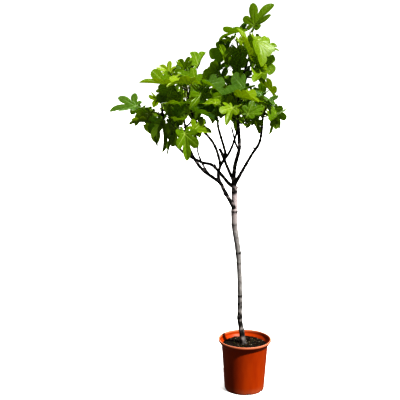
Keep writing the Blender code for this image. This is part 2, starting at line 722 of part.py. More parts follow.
def mass_shoots(mass):
    """A mass's stem, which starts a gap beyond its bough's tip, and its side shoots."""
    whole, tip = bough_path(mass.bough)
    stem = whole[tip:]
    heading = headings_of(whole)[tip]
    stem[0] = stem[0] + heading * GAP
    shoots = [Shoot(stem, heading, BOUGHS[mass.bough].tip_radius, mass.leaves, mass.seed, mass.aim)]
    for share, end, leaves, seed, *aim in mass.shoots:
        root = stem[round(share * (len(stem) - 1))]
        bend = root.lerp(Vector(end), 0.5) - Vector((0, 0, SIDE_SHOOT_SAG))
        path = curve_through((root, bend, end))
        heading = headings_of(path)[0]
        shoots.append(Shoot(path, heading, SHOOT_RADIUS, leaves, seed, aim[0] if aim else None))
    return shoots


def plan_foliage(space):
    """Every closed shape of each mass of foliage: all the shoots, then the leaves, aimed ones first."""
    shoots = {name: mass_shoots(mass) for name, mass in MASSES.items()}
    plans = {name: [shoot_tube(shoot) for shoot in shoots[name]] for name in MASSES}
    for shapes in plans.values():
        for shape in shapes:
            space.add(*shape)
    for name in MASSES:
        for shoot in sorted(shoots[name], key=lambda shoot: shoot.aim is None):
            plans[name].extend(grow_leaves(space, shoot))
    return plans


def build_mass(name, shapes):
    """One mass of foliage: its shapes joined into a single solid."""
    items = [add_object(f"{name}_piece_{index}", *shape) for index, shape in enumerate(shapes)]
    group = bpy.data.collections.new(name)
    for item in items[1:]:
        group.objects.link(item)
    settle_boolean(items[0], "UNION", group)
    for item in items[1:]:
        bpy.data.objects.remove(item, do_unlink=True)
    bpy.data.collections.remove(group)
    items[0].name = name
    items[0].data.name = name
    finish(items[0], "leaf", 0.45)


def main():
    """Build the pot, the potting mix, the limbs and then the foliage."""
    clear_scene()
    space = Space()
    build_pot()
    build_potting_mix()
    build_trunk(space)
    for name in BOUGHS:
        build_bough(name, space)
    for name, shapes in plan_foliage(space).items():
        build_mass(name, shapes)


if __name__ == "__main__":
    main()
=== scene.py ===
"""The looks of a young fig tree in a plain nursery pot, laid over its packed frame.

Metres, +Z up, in the frame of the packed model. It is run as a script, and its panel lists each
group of pieces with the sizes and colours that may be changed.
"""
import math
import random
from collections import namedtuple
from functools import cache

import bpy
from mathutils import Matrix, Vector, noise
from mathutils.bvhtree import BVHTree
from mathutils.kdtree import KDTree


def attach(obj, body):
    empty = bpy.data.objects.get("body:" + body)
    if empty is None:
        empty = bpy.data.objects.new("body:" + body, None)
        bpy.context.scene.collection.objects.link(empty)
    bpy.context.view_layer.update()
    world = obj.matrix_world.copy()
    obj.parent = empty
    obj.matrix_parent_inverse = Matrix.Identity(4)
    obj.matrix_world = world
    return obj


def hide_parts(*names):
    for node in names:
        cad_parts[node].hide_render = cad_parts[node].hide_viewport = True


bl_info = {
    "name": "Fig Tree in a Pot",
    "version": (1, 0, 0),
    "blender": (4, 5, 0),
    "location": "3D View > Sidebar > Fig Tree",
    "description": "Grows the bark, shoots, leaves, pot and potting mix of a young fig tree",
    "category": "Add Mesh",
}

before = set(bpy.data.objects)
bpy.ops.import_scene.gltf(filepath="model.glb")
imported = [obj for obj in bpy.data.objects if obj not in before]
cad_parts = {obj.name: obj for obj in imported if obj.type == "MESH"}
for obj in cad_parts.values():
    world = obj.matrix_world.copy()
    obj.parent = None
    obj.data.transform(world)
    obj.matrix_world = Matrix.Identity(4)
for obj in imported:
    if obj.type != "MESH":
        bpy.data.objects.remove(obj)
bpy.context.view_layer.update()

# Pot
POT_HEIGHT = 0.256
RIM_RADIUS = 0.130
RIM_DEPTH = 0.018
NECK_STEP = 0.012
NECK_HEIGHT = POT_HEIGHT - RIM_DEPTH - NECK_STEP
NECK_RADIUS = 0.1135
FOOT_RADIUS = 0.0975
WALL = 0.0025
FLOOR_LEVEL = 0.009
FOOT_WIDTH = 0.012
FOOT_RECESS = 0.005
CENTRE_PAD_RADIUS = 0.026
FOOT_NOTCHES = 8
NOTCH_WIDTH = 0.020
NOTCH_DEPTH = 0.0065
NOTCH_LENGTH = 2.3 * FOOT_WIDTH
NOTCH_TURN_DEGREES = 9
NOTCH_ROUNDING = 0.0015
CORNER_EASE = 0.0016
CORNER_SHARE = 0.45
CORNER_STEPS = 4

# Potting mix
SOIL_LEVEL = 0.225
SOIL_EDGE_DROP = 0.006
SOIL_HEAP = 0.006
SOIL_TILT = 0.008
PEAT_GRAIN = 0.004
PEAT_ROUGHNESS = 0.95
SOIL_RINGS = 46
SOIL_STEPS = 150
SOIL_FOOT_MARGIN = 0.006
SOIL_SIDE_MARGIN = 0.004
SOIL_SIDE_DEPTH = 0.03
SOIL_TOP_DEPTH = 0.02
GAP = 0.0003

# Its lumps, large and small, as (size, smoothness, step in size, octaves, share of the height)
SOIL_LUMPS = ((0.030, 0.8, 2.2, 4, 0.6), (0.006, 0.9, 2.0, 3, 0.5))

# Loose crumbs: the finish of each kind as dark and light colours, grain and roughness, and then each
# kind's share of them all and its size against the range
CRUMB_FINISHES = (
    ("composted bark", "#0F0A06", "#2A1E13", 0.003, 0.9),
    ("bark chip", "#2A1D13", "#4E3926", 0.003, 0.85),
    ("pale grit", "#6C6354", "#A39A88", 0.002, 0.8),
    ("moss", "#2C3816", "#5E6E2C", 0.002, 0.95),
)
CRUMB_SHARES = (0.50, 0.18, 0.16, 0.16)
CRUMB_GROWTHS = (1.35, 1.35, 0.8, 0.8)
CRUMB_SIZES = (0.0016, 0.0042)
CRUMB_LENGTHS = (0.9, 2.0)
CRUMB_WIDTHS = (0.6, 1.0)
CRUMB_HEIGHTS = (0.3, 0.6)
CRUMB_KNOCKS = (0.75, 1.2)
CRUMB_TILT = 0.6
CRUMB_LIFT = 0.0004
CRUMB_MARGIN = 0.007
CRUMB_SEED = 11

# The spacing of points along every limb's curve
CURVE_STEP = 0.004

# Trunk
TRUNK_RADIUS = 0.0115
FLARE = 0.0045
FLARE_HEIGHT = 0.022
TRUNK_SIDES = 10
KNOT_SWELL = 0.0022
KNOT_HALF_LENGTH = 0.009
KNOT_HEIGHTS = (0.300, 0.362, 0.475, 0.640, 0.690, 0.830, 0.893, 0.990)
TRUNK_ROUTE = (
    (-0.007, 0.0, SOIL_LEVEL + GAP),
    (-0.013, 0.0, 0.278),
    (-0.025, 0.0, 0.360),
    (-0.025, 0.0, 0.475),
    (-0.030, 0.0, 0.614),
    (-0.038, 0.0, 0.710),
    (-0.055, 0.0, 0.830),
    (-0.0555, 0.0, 0.949),
    (-0.060, 0.0, 1.055),
)
TRUNK_GIRTH = ((0.0, 1.02), (0.12, 0.95), (0.45, 0.88), (0.70, 1.12), (0.83, 1.18), (1.0, 0.86))

# The rings of the trunk's tube, in points of its path: the lowest, the step of the rest, where they
# stop short of the top, and how far they keep off a knot's own rings
TRUNK_RINGS = (0, 2, 5)
TRUNK_RING_STEP = 8
TRUNK_RINGS_END = 4
KNOT_MARGIN = 2

# Boughs: the limbs each one's foot is cut to, its radius at both ends, and the places it bends
# through. The leader has none, because it stands on the trunk's end.
BOUGH_SIDES = 8
BOUGH_RING_STEP = 12
Bough = namedtuple("Bough", "parents start_radius tip_radius route")
BOUGHS = {
    "leader": Bough((), 0.0088, 0.0058, (
        (-0.060, 0.0, 1.055), (-0.0553, 0.010, 1.109), (-0.0353, 0.025, 1.186),
        (-0.0345, 0.030, 1.233), (-0.0432, 0.040, 1.364))),
    "low_left_bough": Bough(("trunk",), 0.0085, 0.0048, (
        (-0.0565, 0.0, 0.910), (-0.1045, -0.035, 0.997), (-0.1291, -0.050, 1.042),
        (-0.2127, -0.095, 1.112), (-0.2652, -0.125, 1.201), (-0.282, -0.140, 1.277))),
    "left_bough": Bough(("trunk",), 0.0070, 0.0045, (
        (-0.0582, 0.0, 1.012), (-0.0847, 0.010, 1.029), (-0.1572, 0.050, 1.107),
        (-0.2157, 0.075, 1.122), (-0.310, 0.110, 1.1735), (-0.3878, 0.140, 1.270),
        (-0.4018, 0.150, 1.343))),
    "right_bough": Bough(("trunk",), 0.0068, 0.0045, (
        (-0.057, 0.0, 1.024), (-0.0373, -0.010, 1.060), (0.0164, -0.045, 1.165),
        (0.0554, -0.065, 1.235), (0.067, -0.070, 1.335))),
    "back_right_bough": Bough(("trunk", "leader", "right_bough"), 0.0060, 0.0042, (
        (-0.058, 0.0, 1.034), (-0.0363, 0.016, 1.059), (0.0234, 0.065, 1.152),
        (0.0699, 0.120, 1.216), (0.0867, 0.170, 1.307))),
    "middle_bough": Bough(("trunk", "leader"), 0.0065, 0.0045, (
        (-0.0595, 0.0, 1.040), (-0.0838, 0.020, 1.0895), (-0.1025, 0.040, 1.138),
        (-0.0998, 0.055, 1.1725), (-0.1306, 0.090, 1.279), (-0.1387, 0.100, 1.332))),
    "back_bough": Bough(("leader",), 0.0055, 0.0042, (
        (-0.0345, 0.030, 1.233), (-0.032, 0.090, 1.272), (-0.0347, 0.160, 1.327))),
    "back_left_bough": Bough(("left_bough",), 0.0052, 0.0042, (
        (-0.2554, 0.0900, 1.1445), (-0.2686, 0.140, 1.171), (-0.288, 0.200, 1.2455),
        (-0.2994, 0.235, 1.315))),
    "upper_left_bough": Bough(("low_left_bough",), 0.0058, 0.0046, (
        (-0.1291, -0.050, 1.042), (-0.1355, -0.055, 1.087), (-0.1273, -0.055, 1.1315),
        (-0.1563, -0.045, 1.2215), (-0.2275, -0.035, 1.309), (-0.2576, -0.030, 1.364))),
    "front_bough": Bough(("upper_left_bough",), 0.0050, 0.0042, (
        (-0.1275, -0.0552, 1.122), (-0.0847, -0.075, 1.187), (-0.0602, -0.095, 1.254),
        (-0.0477, -0.110, 1.3105))),
    "middle_stub": Bough(("middle_bough",), 0.0062, 0.0056, (
        (-0.1025, 0.040, 1.138), (-0.1155, 0.035, 1.167), (-0.1273, 0.030, 1.192))),
    "low_left_spur": Bough(("low_left_bough",), 0.0038, 0.0026, (
        (-0.1834, -0.0795, 1.0865), (-0.2159, -0.100, 1.150), (-0.2324, -0.110, 1.201),
        (-0.2278, -0.115, 1.226))),
    "leader_spur": Bough(("leader",), 0.0038, 0.0028, (
        (-0.0353, 0.025, 1.186), (-0.0502, 0.015, 1.213), (-0.0563, 0.010, 1.235),
        (-0.074, -0.020, 1.298))),
}

# Foliage: the bough each mass grows on from, the places its stem bends through, the stem's own
# leaves and seed, and its side shoots as (share of the stem's length, tip, leaves, seed). An aim
# is the compass direction and rise, in degrees, and the size of a shoot's topmost leaf.
Mass = namedtuple("Mass", "bough stem leaves seed shoots aim", defaults=(None,))
MASSES = {
    "leader_foliage": Mass("leader", (
        (-0.039, 0.045, 1.430), (-0.030, 0.045, 1.495), (-0.005, 0.040, 1.579),
        (0.012, 0.030, 1.643), (0.010, 0.020, 1.736)), 5, 149, (
            (0.12, (-0.004, -0.030, 1.461), 2, 307),
            (0.15, (-0.071, 0.020, 1.459), 2, 304, (120, 60, 0.9)),
            (0.38, (-0.073, -0.020, 1.579), 3, 53, (190, -35, 0.95)),
            (0.45, (0.069, 0.020, 1.542), 3, 387),
            (0.50, (0.016, -0.060, 1.597), 3, 134),
            (0.55, (-0.050, 0.050, 1.692), 3, 328, (125, 32, 1.08)),
            (0.55, (0.010, 0.140, 1.616), 3, 360),
            (0.72, (0.065, 0.000, 1.651), 3, 328, (0, 30, 0.9))), (-5, 60, 1.16)),
    "upper_left_foliage": Mass("upper_left_bough", (
        (-0.271, -0.030, 1.415), (-0.281, -0.030, 1.479), (-0.285, -0.035, 1.543)), 3, 38, (
            (0.25, (-0.202, -0.060, 1.489), 3, 398, (-20, 15, 1.0)),
            (0.25, (-0.339, -0.070, 1.480), 3, 137, (190, 5, 1.1)),
            (0.30, (-0.296, 0.070, 1.476), 3, 291),
            (0.45, (-0.265, -0.130, 1.491), 3, 283),
            (0.60, (-0.239, 0.000, 1.560), 2, 338, (60, 60, 0.85)),
            (0.60, (-0.344, -0.040, 1.534), 3, 108, (175, 10, 1.0)))),
    "left_foliage": Mass("left_bough", (
        (-0.405, 0.155, 1.374), (-0.415, 0.155, 1.425)), 4, 361, (
            (0.06, (-0.494, 0.125, 1.380), 3, 366, (182, 8, 1.17)),
            (0.30, (-0.345, 0.100, 1.399), 3, 218),
            (0.20, (-0.431, 0.250, 1.351), 3, 327),
            (0.10, (-0.441, 0.080, 1.314), 3, 64, (200, -30, 1.0)))),
    "low_left_foliage": Mass("low_left_bough", (
        (-0.291, -0.150, 1.336), (-0.296, -0.155, 1.395)), 4, 90, (
            (0.10, (-0.354, -0.180, 1.334), 3, 306, (205, -62, 1.1)),
            (0.25, (-0.243, -0.200, 1.371), 3, 258),
            (0.15, (-0.291, -0.240, 1.295), 3, 368, (290, -62, 1.05)),
            (0.20, (-0.285, -0.070, 1.316), 3, 284))),
    "middle_foliage": Mass("middle_bough", (
        (-0.153, 0.100, 1.399), (-0.139, 0.090, 1.451), (-0.121, 0.085, 1.485)), 4, 330, (
            (0.15, (-0.206, 0.060, 1.420), 3, 108),
            (0.35, (-0.085, 0.130, 1.426), 3, 160),
            (0.30, (-0.171, 0.190, 1.413), 3, 143),
            (0.30, (-0.174, 0.020, 1.440), 3, 119)), (100, 68, 0.9)),
    "front_foliage": Mass("front_bough", (
        (-0.053, -0.115, 1.374), (-0.063, -0.120, 1.419)), 4, 185, (
            (0.20, (-0.118, -0.170, 1.404), 3, 138),
            (0.15, (-0.010, -0.160, 1.350), 3, 36),
            (0.20, (-0.063, -0.230, 1.355), 3, 115),
            (0.25, (-0.022, -0.095, 1.332), 1, 221, (-40, -62, 0.62)))),
    "right_foliage": Mass("right_bough", (
        (0.080, -0.067, 1.385), (0.084, -0.065, 1.421), (0.104, -0.060, 1.430)), 4, 22, (
            (0.20, (0.021, -0.080, 1.408), 3, 133),
            (0.25, (0.130, -0.050, 1.370), 3, 36, (-10, -35, 0.85)),
            (0.20, (0.056, -0.170, 1.378), 3, 68)), (150, 45, 0.9)),
    "back_left_foliage": Mass("back_left_bough", (
        (-0.299, 0.250, 1.351), (-0.285, 0.260, 1.410)), 4, 12, (
            (0.20, (-0.357, 0.300, 1.348), 3, 150),
            (0.30, (-0.241, 0.280, 1.369), 3, 231))),
    "back_right_foliage": Mass("back_right_bough", (
        (0.084, 0.190, 1.374), (0.070, 0.200, 1.423)), 4, 368, (
            (0.20, (0.137, 0.220, 1.363), 3, 16),
            (0.30, (0.040, 0.260, 1.360), 3, 107))),
    "back_foliage": Mass("back_bough", (
        (-0.033, 0.210, 1.383), (-0.017, 0.230, 1.431), (-0.042, 0.240, 1.480)), 4, 304, (
            (0.20, (-0.090, 0.260, 1.360), 3, 65),
            (0.35, (0.002, 0.310, 1.408), 3, 303))),
}

# The trunk's bark: how dark each knot's ring is, from the lowest, dark patches above the potting
# mix as (height, half length, darkness), and where the dark bark of the boughs sets in, which is
# partly the darker young bark and partly painted shade of the crown
KNOT_SCARS = (0.5, 1.0, 0.9, 0.35, 0.9, 0.4, 1.0, 0.6)
KNOT_SHARE = 0.6
SCAR_STRENGTH = 1.5
SCAR_HALF_LENGTH = 0.005
DARK_PATCHES = ((0.426, 0.018, 1.1), (0.376, 0.016, 1.2), (0.335, 0.022, 1.0), (0.285, 0.028, 0.8),
                (0.240, 0.022, 0.9))
DARK_FROM = 0.955
DARK_OVER = 0.04

# How far the bark stands out from the plain limbs, and how deep and wide the trunk's foot is set
TRUNK_GROWTH = 0.0016
BOUGH_GROWTH = 0.0009
FOOT_DEPTH = 0.010
FOOT_SPREAD = 1.15

# The boughs' bark: a collar at each foot, and rings up to its first shoot, which it runs on into
COLLAR = 0.0035
COLLAR_LENGTH = 0.016
FIRST_RING = 0.03
RING_SPACING = (0.022, 0.045)
RING_SWELL = 0.0008
RING_HALF_LENGTH = 0.0035
RING_SCAR = 0.7
RING_SCAR_HALF_LENGTH = 0.003
RUN_ON = 7

# The skin over all the limbs: its ripples and lumps, how far they and the scars raise it, and how
# they spread its tone
SKIN_SIDES = 14
RIPPLE_SIZE = 0.006
RIPPLE_STRETCH = 0.4
RIPPLE_RELIEF = 0.7
LUMP_SIZE = 0.016
SCAR_RELIEF = 0.8
TONE_SPREAD = 0.15
FAINTEST_SCAR = 0.5

# Pruning knobs, as foot, top and radius, and their girth from foot to top
KNOB_GIRTH = ((0.0, 1.2), (0.6, 1.0), (1.0, 0.8))
KNOBS = (
    ((-0.056, -0.002, 1.000), (-0.0405, -0.006, 1.012), 0.0062),
    ((-0.095, -0.028, 0.975), (-0.108, -0.030, 0.990), 0.0068),
    ((-0.146, 0.043, 1.098), (-0.152, 0.040, 1.116), 0.0058),
    ((0.036, -0.054, 1.196), (0.026, -0.056, 1.208), 0.0045),
)

# How a shoot grows
Shoot = namedtuple("Shoot", "path heading radius leaves seed aim")
Leaf = namedtuple("Leaf", "joint midrib normal length fold curl bends age mark")
LEAF_SEEDS = 1000
AIM_SPREAD = 6
AIM_SUN = 1.5
SUN_RANGE = (0.1, 1.1)
SIDE_SHOOT_SAG = 0.012
SPIRAL_DEGREES = 137.5
INTERNODE = 0.017
INTERNODE_SPREAD = (0.7, 1.3)
AGED_LEAVES = 3
FIRST_NODE = 0.008
LOWEST_NODE = 3
BUD_LENGTH = 0.016
BUD_POINT = 0.12
SHOOT_RADIUS = 0.0042
SHOOT_SIDES = 5
SHOOT_RING_STEP = 12
STALK_RADIUS = 0.0022
STALK_CORNERS = (135, 225, 315, 45)
YOUNG_STALK = 0.040
OLD_STALK = 0.070
STALK_SPREAD = (-0.010, 0.012)
ELBOW_SHARE = 0.55
YOUNG_LEAN = 30
OLD_LEAN = 75
YOUNG_RISE = 32
OLD_RISE = -63
RISE_BEND = 0.75
STEEPEST_FALL = -84
STEEPEST_RISE = 75
RISE_SPREAD = 14
TURN_SPREAD = 8
TURN_SPREAD_PER_TRY = 5
SHRINK_PER_TRY = 0.008
TRIES = 30
CLEARANCE = 0.0015
SUNWARD = Vector((0.30, -0.80, 0.52))
CROWN_LOW = Vector((-0.685, -0.36, 1.12))
CROWN_HIGH = Vector((0.195, 0.44, 1.866))

# A leaf one unit long: its lobes as (degrees from the midrib, length, half width)
LOBES = ((0, 1.0, 0.28), (38, 0.78, 0.24), (92, 0.47, 0.24))
NOTCH = 0.09
HALF_OUTLINE_DEGREES = (18, 38, 62, 92, 134, 170)
LEAF_LENGTH = 0.112
LEAF_SIZES = (0.72, 1.16)
LEAF_THICKNESS = 0.0018
LEAF_ROLL = 16
FOLD_RANGE = (0.12, 0.75)
CURL_RANGE = (0.08, 0.40)
TEST_GROWTH = 1.03

# The shoot that is shown: slimmer, ringed at its nodes, and with a bud at its tip
SLIM_SHOOT_RADIUS = 0.0030
STOUT_SHOOT_RADIUS = 0.0050
SHOOT_ROOT = 0.006
NODE_SWELL = 0.0006
BUD_AT = 0.011
BUD_SWELL = 0.25
BUD_HALF_LENGTH = 0.004
BUD_TIP = 0.10
GREEN_LENGTH = 0.11
FINE_SHOOT_SIDES = 8

# The stalk that is shown: its radius, and how much thicker it gets at the shoot and at the blade
SLIM_STALK_RADIUS = 0.0013
STALK_FOOT = 0.0009
STALK_HEAD = 0.0004
FINE_STALK_SIDES = 6

# The finer leaf that is shown: directions on one side, and rings from the joint to the edge
FINE_HALF_DEGREES = (5, 10, 14, 17, 19.5, 22, 24.5, 27, 31, 36, 42, 48, 54, 58, 61, 64, 67, 71, 77, 83,
                     89, 95, 101, 106, 109, 111.5, 114, 119, 126, 134, 142, 150, 158, 170)
FINE_RINGS = (0.12, 0.28, 0.46, 0.64, 0.80, 0.92, 1.0)
CREASE = 0.003

# The shown leaf's lobes as (degrees from the midrib, length, half width in degrees), with the
# reach of the hollow that each one rises from
FINE_LOBES = ((0, 1.04, 22, 0.60), (42, 0.86, 21, 0.54), (86, 0.60, 24, 0.40), (138, 0.33, 30, 0.20))
LOBE_ROUNDNESS = 1.75
LOBE_FULLNESS = 0.60
HOLLOW_LEVELS = (0.50, 1.40)
HIGHEST_HOLLOW = 0.92
SLIMNESS = 0.84
FOLD_GAIN = 1.7
LEAF_TRIM = 0.96
LEAF_SKEW = 0.06
LEAF_TWIST = 0.25
TEETH = 13
TOOTH_DEPTH = 0.016
EDGE_WAVES = 5
QUILT_WIDTH = 0.016
QUILT_FADE = 3
EDGE_QUILT = 0.3
FINE_LEAF_SEED = 7

# How pale a leaf is, partly painted light and shade and partly its own paleness: the direction of the
# light, the crown's middle, what is added for each unit of facing the light, height, distance from the
# middle, age and length, and the spread by chance. Facing the light, height and distance from the middle
# paint light and shade; age and length give its own paleness
LIGHT_HEADING = Vector((0.45, -0.45, 0.77))
CROWN_MIDDLE = Vector((-0.20, 0.03, 1.45))
PALENESS_AND_PAINTED_LIGHT = (0.45, 0.3, 0.5, -0.2, -1.2)
PALENESS_SPREAD = 0.16
SHADE_RANGE = (-0.12, 0.50)
TINT_SEED = 5

# Leaf finishes, from the least pale, so the darker ones are partly painted shade and the paler ones
# partly painted light: blade, its darker parts, veins, light through it, roughness, share of the leaves
LEAF_TINTS = (
    ("shaded fig leaf", "#557810", "#203A06", "#8CA850", "#A8CC0C", 0.33, 0.18),
    ("mature fig leaf", "#88A412", "#466A08", "#B0C460", "#CCE210", 0.31, 0.24),
    ("glossy fig leaf", "#86A44A", "#486E28", "#C0D8A0", "#C4E020", 0.20, 0.16),
    ("sunlit fig leaf", "#9CB416", "#6C8E08", "#D4E07C", "#E6F41A", 0.34, 0.24),
    ("young fig leaf", "#A4BA1C", "#7C9C0C", "#E0EA88", "#EAF424", 0.38, 0.18),
)
UNDERSIDE = ("fig leaf underside", "#8EAA2A", "#6C8E1A", "#BACC68", "#DCF01C", 0.62)

# The veins are sunk into a leaf's top, and stand out from its underside, against its fine grain
TOP_VEINS = -1.5
UNDERSIDE_VEINS = 2.0

# Camera, as worked out from the pot's rim and height in the view
CAMERA_PLACE = (-0.2205, -3.6, 1.596)
CAMERA_DIP_DEGREES = 10.19
CAMERA_LENS = 68.98
CAMERA_SENSOR = 36.0

# Studio: a pale floor under a white sky, with a key light from the right, a little in front, and a
# soft light from behind
STAGE_RADIUS = 30.0
LIGHT_HEIGHT = 4.0
KEY_RISE_DEGREES = 54
KEY_TURN_DEGREES = -42
KEY_WIDTH_DEGREES = 4
BACK_RISE_DEGREES = 35
BACK_TURN_DEGREES = 88
BACK_WIDTH_DEGREES = 40
WASH_WIDTH_DEGREES = 70


def linear(code):
    """A linear colour from an sRGB hex code."""
    channels = [int(code[i:i + 2], 16) / 255 for i in (1, 3, 5)]
    return tuple(c / 12.92 if c <= 0.04045 else ((c + 0.055) / 1.055) ** 2.4 for c in channels)


def opaque(code):
    """A colour socket's value from an sRGB hex code."""
    return (*linear(code), 1.0)


# The growing rule


def curve_through(points):
    """Close points on a Catmull-Rom curve through the given ones."""
    knots = [Vector(point) for point in points]
    knots = [2 * knots[0] - knots[1], *knots, 2 * knots[-1] - knots[-2]]
    path = []
    for before, start, end, after in zip(knots, knots[1:], knots[2:], knots[3:]):
        count = max(1, round((end - start).length / CURVE_STEP))
        for index in range(count):
            t = index / count
            path.append(0.5 * (2 * start + (end - before) * t
                               + (2 * before - 5 * start + 4 * end - after) * t * t
                               + (3 * start - before - 3 * end + after) * t ** 3))
    return path + [knots[-2]]


def headings_of(path):
    """The direction of travel at each point of a path."""
    ends = [path[0], *path, path[-1]]
    return [(after - before).normalized() for before, after in zip(ends, ends[2:])]


def tube(places, headings, radii, sides):
    """Corner points and faces of a closed round tube."""
    points = []
    faces = []
    across = headings[0].orthogonal().normalized()
    for place, heading, radius in zip(places, headings, radii):
        across = (across - heading * across.dot(heading)).normalized()
        other = heading.cross(across)
        for corner in range(sides):
            turn = math.tau * corner / sides
            points.append(place + (across * math.cos(turn) + other * math.sin(turn)) * radius)
    for ring in range(len(places) - 1):
        for corner in range(sides):
            low = ring * sides + corner
            low_next = ring * sides + (corner + 1) % sides
            faces.append((low, low_next, low_next + sides, low + sides))
    faces.append(tuple(reversed(range(sides))))
    faces.append(tuple(range(len(points) - sides, len(points))))
    return points, faces


def lobe_reaches(angle):
    """How far each lobe of a unit leaf reaches from the stalk's joint, at an angle from the midrib."""
    for centre, length, half_width in LOBES:
        for heading in (centre, -centre):
            off = math.radians(angle - heading)
            if math.cos(off) > 0:
                stretch = length / 2 / half_width
                spread = math.cos(off) ** 2 + (stretch * math.sin(off)) ** 2
                yield length * math.cos(off) / spread


def leaf_blade(joint, midrib, normal, length, fold, curl, thickness, grown=1.0):
    """Corner points and faces of a lobed blade, folded up along its midrib and curled down."""
    across = normal.cross(midrib)
    angles = [*(-a for a in reversed(HALF_OUTLINE_DEGREES)), 0, *HALF_OUTLINE_DEGREES]
    middle = [joint.copy()]
    for angle in angles:
        reach = max(NOTCH, *lobe_reaches(angle)) * length * grown
        ahead = reach * math.cos(math.radians(angle))
        aside = reach * math.sin(math.radians(angle))
        lift = fold * abs(aside) - curl * ahead * abs(ahead) / length
        middle.append(joint + midrib * ahead + across * aside + normal * lift)
    half = normal * (thickness / 2)
    count = len(middle)
    points = [point + half for point in middle] + [point - half for point in middle]
    faces = []
    for index in range(1, count):
        after = index % (count - 1) + 1
        faces.append((0, index, after))
        faces.append((count, after + count, index + count))
        faces.append((index, index + count, after + count))
        faces.append((index, after + count, after))
    return points, faces


def stalked(blade, across, bends):
    """A blade's skin carried on from its notch down a square stalk that ends inside the shoot."""
    points = list(blade[0])
    faces = blade[1][:-2]
    count = len(points) // 2
    sides = len(STALK_CORNERS)
    rings = []
    for bend, heading in zip(bends[:-1], headings_of(bends)):
        aside = (across - heading * across.dot(heading)).normalized()
        rise = heading.cross(aside)
        rings.append(range(len(points), len(points) + sides))
        for corner in STALK_CORNERS:
            turn = math.radians(corner)
            points.append(bend + (aside * math.cos(turn) + rise * math.sin(turn)) * STALK_RADIUS)
    rings.append((1, 1 + count, 2 * count - 1, count - 1))
    for ring, after in zip(rings, rings[1:]):
        for corner in range(sides):
            follow = (corner + 1) % sides
            faces.append((ring[corner], ring[follow], after[follow], after[corner]))
    faces.append(tuple(reversed(rings[0])))
    return points, faces


class Space:
    """What already fills the air round the tree, for testing a new leaf against."""

    def __init__(self):
        self.held = []

    def add(self, points, faces):
        """Hold one more closed shape."""
        self.held.append(self.entry(points, faces))

    def entry(self, points, faces):
        """A shape's middle, reach and search tree."""
        middle = sum(points, Vector()) / len(points)
        reach = max((point - middle).length for point in points)
        return middle, reach, BVHTree.FromPolygons(points, faces)

    def is_clear(self, points, faces):
        """True where a shape touches nothing held."""
        middle, reach, tree = self.entry(points, faces)
        near = (held for centre, size, held in self.held if (centre - middle).length < reach + size)
        return not any(tree.overlap(held) for held in near)


def crosses_itself(points, faces):
    """True where a shape's skin passes through itself."""
    tree = BVHTree.FromPolygons(points, faces)
    return any(not set(faces[one]) & set(faces[other]) for one, other in tree.overlap(tree))


def within_crown(points):
    """True where every point is inside the crown's limits."""
    return all(CROWN_LOW[i] < point[i] < CROWN_HIGH[i] for point in points for i in range(3))


def stalk_bends(place, outward, midrib, stalk_length, length):
    """The places a leaf stalk bends through, from the shoot to just short of the blade's joint."""
    elbow = place + outward * stalk_length * ELBOW_SHARE
    onward = (outward * (1 - ELBOW_SHARE) + midrib * ELBOW_SHARE).normalized()
    joint = elbow + onward * stalk_length * (1 - ELBOW_SHARE)
    seat = joint - midrib * NOTCH * length
    return (place, elbow, seat), joint


def try_leaf(space, place, heading, lean, azimuth, elevation, stalk_length, length, sun, dice):
    """One leaf on its stalk, or None where it would touch something."""
    level = Vector((math.cos(azimuth), math.sin(azimuth), 0.0))
    outward = (heading * math.cos(lean) + level * math.sin(lean)).normalized()
    midrib = level * math.cos(elevation) + Vector((0, 0, 1)) * math.sin(elevation)
    upright = Vector((0, 0, 1)) * math.cos(elevation) - level * math.sin(elevation)
    facing = upright + SUNWARD * sun
    facing = (facing - midrib * facing.dot(midrib)).normalized()
    normal = Matrix.Rotation(math.radians(dice.gauss(0, LEAF_ROLL)), 3, midrib) @ facing
    fold = dice.uniform(*FOLD_RANGE)
    curl = dice.uniform(*CURL_RANGE)
    bends, joint = stalk_bends(place, outward, midrib, stalk_length, length)
    blade = leaf_blade(joint, midrib, normal, length, fold, curl, LEAF_THICKNESS)
    wide = leaf_blade(joint, midrib, normal, length, fold, curl,
                      LEAF_THICKNESS + 2 * CLEARANCE, TEST_GROWTH)
    off_shoot = place + outward * (SHOOT_RADIUS + STALK_RADIUS + CLEARANCE)
    tested = (off_shoot, bends[1], bends[2] - midrib * CLEARANCE)
    test_stalk = tube(tested, headings_of(tested), [STALK_RADIUS + CLEARANCE] * len(tested),
                      len(STALK_CORNERS))
    if not within_crown(blade[0]) or not space.is_clear(*wide) or not space.is_clear(*test_stalk):
        return None
    if crosses_itself(*stalked(blade, normal.cross(midrib), bends)):
        return None
    space.add(*blade)
    space.add(*test_stalk)
    return Leaf(joint, midrib, normal, length, fold, curl, bends, 0.0, 0)


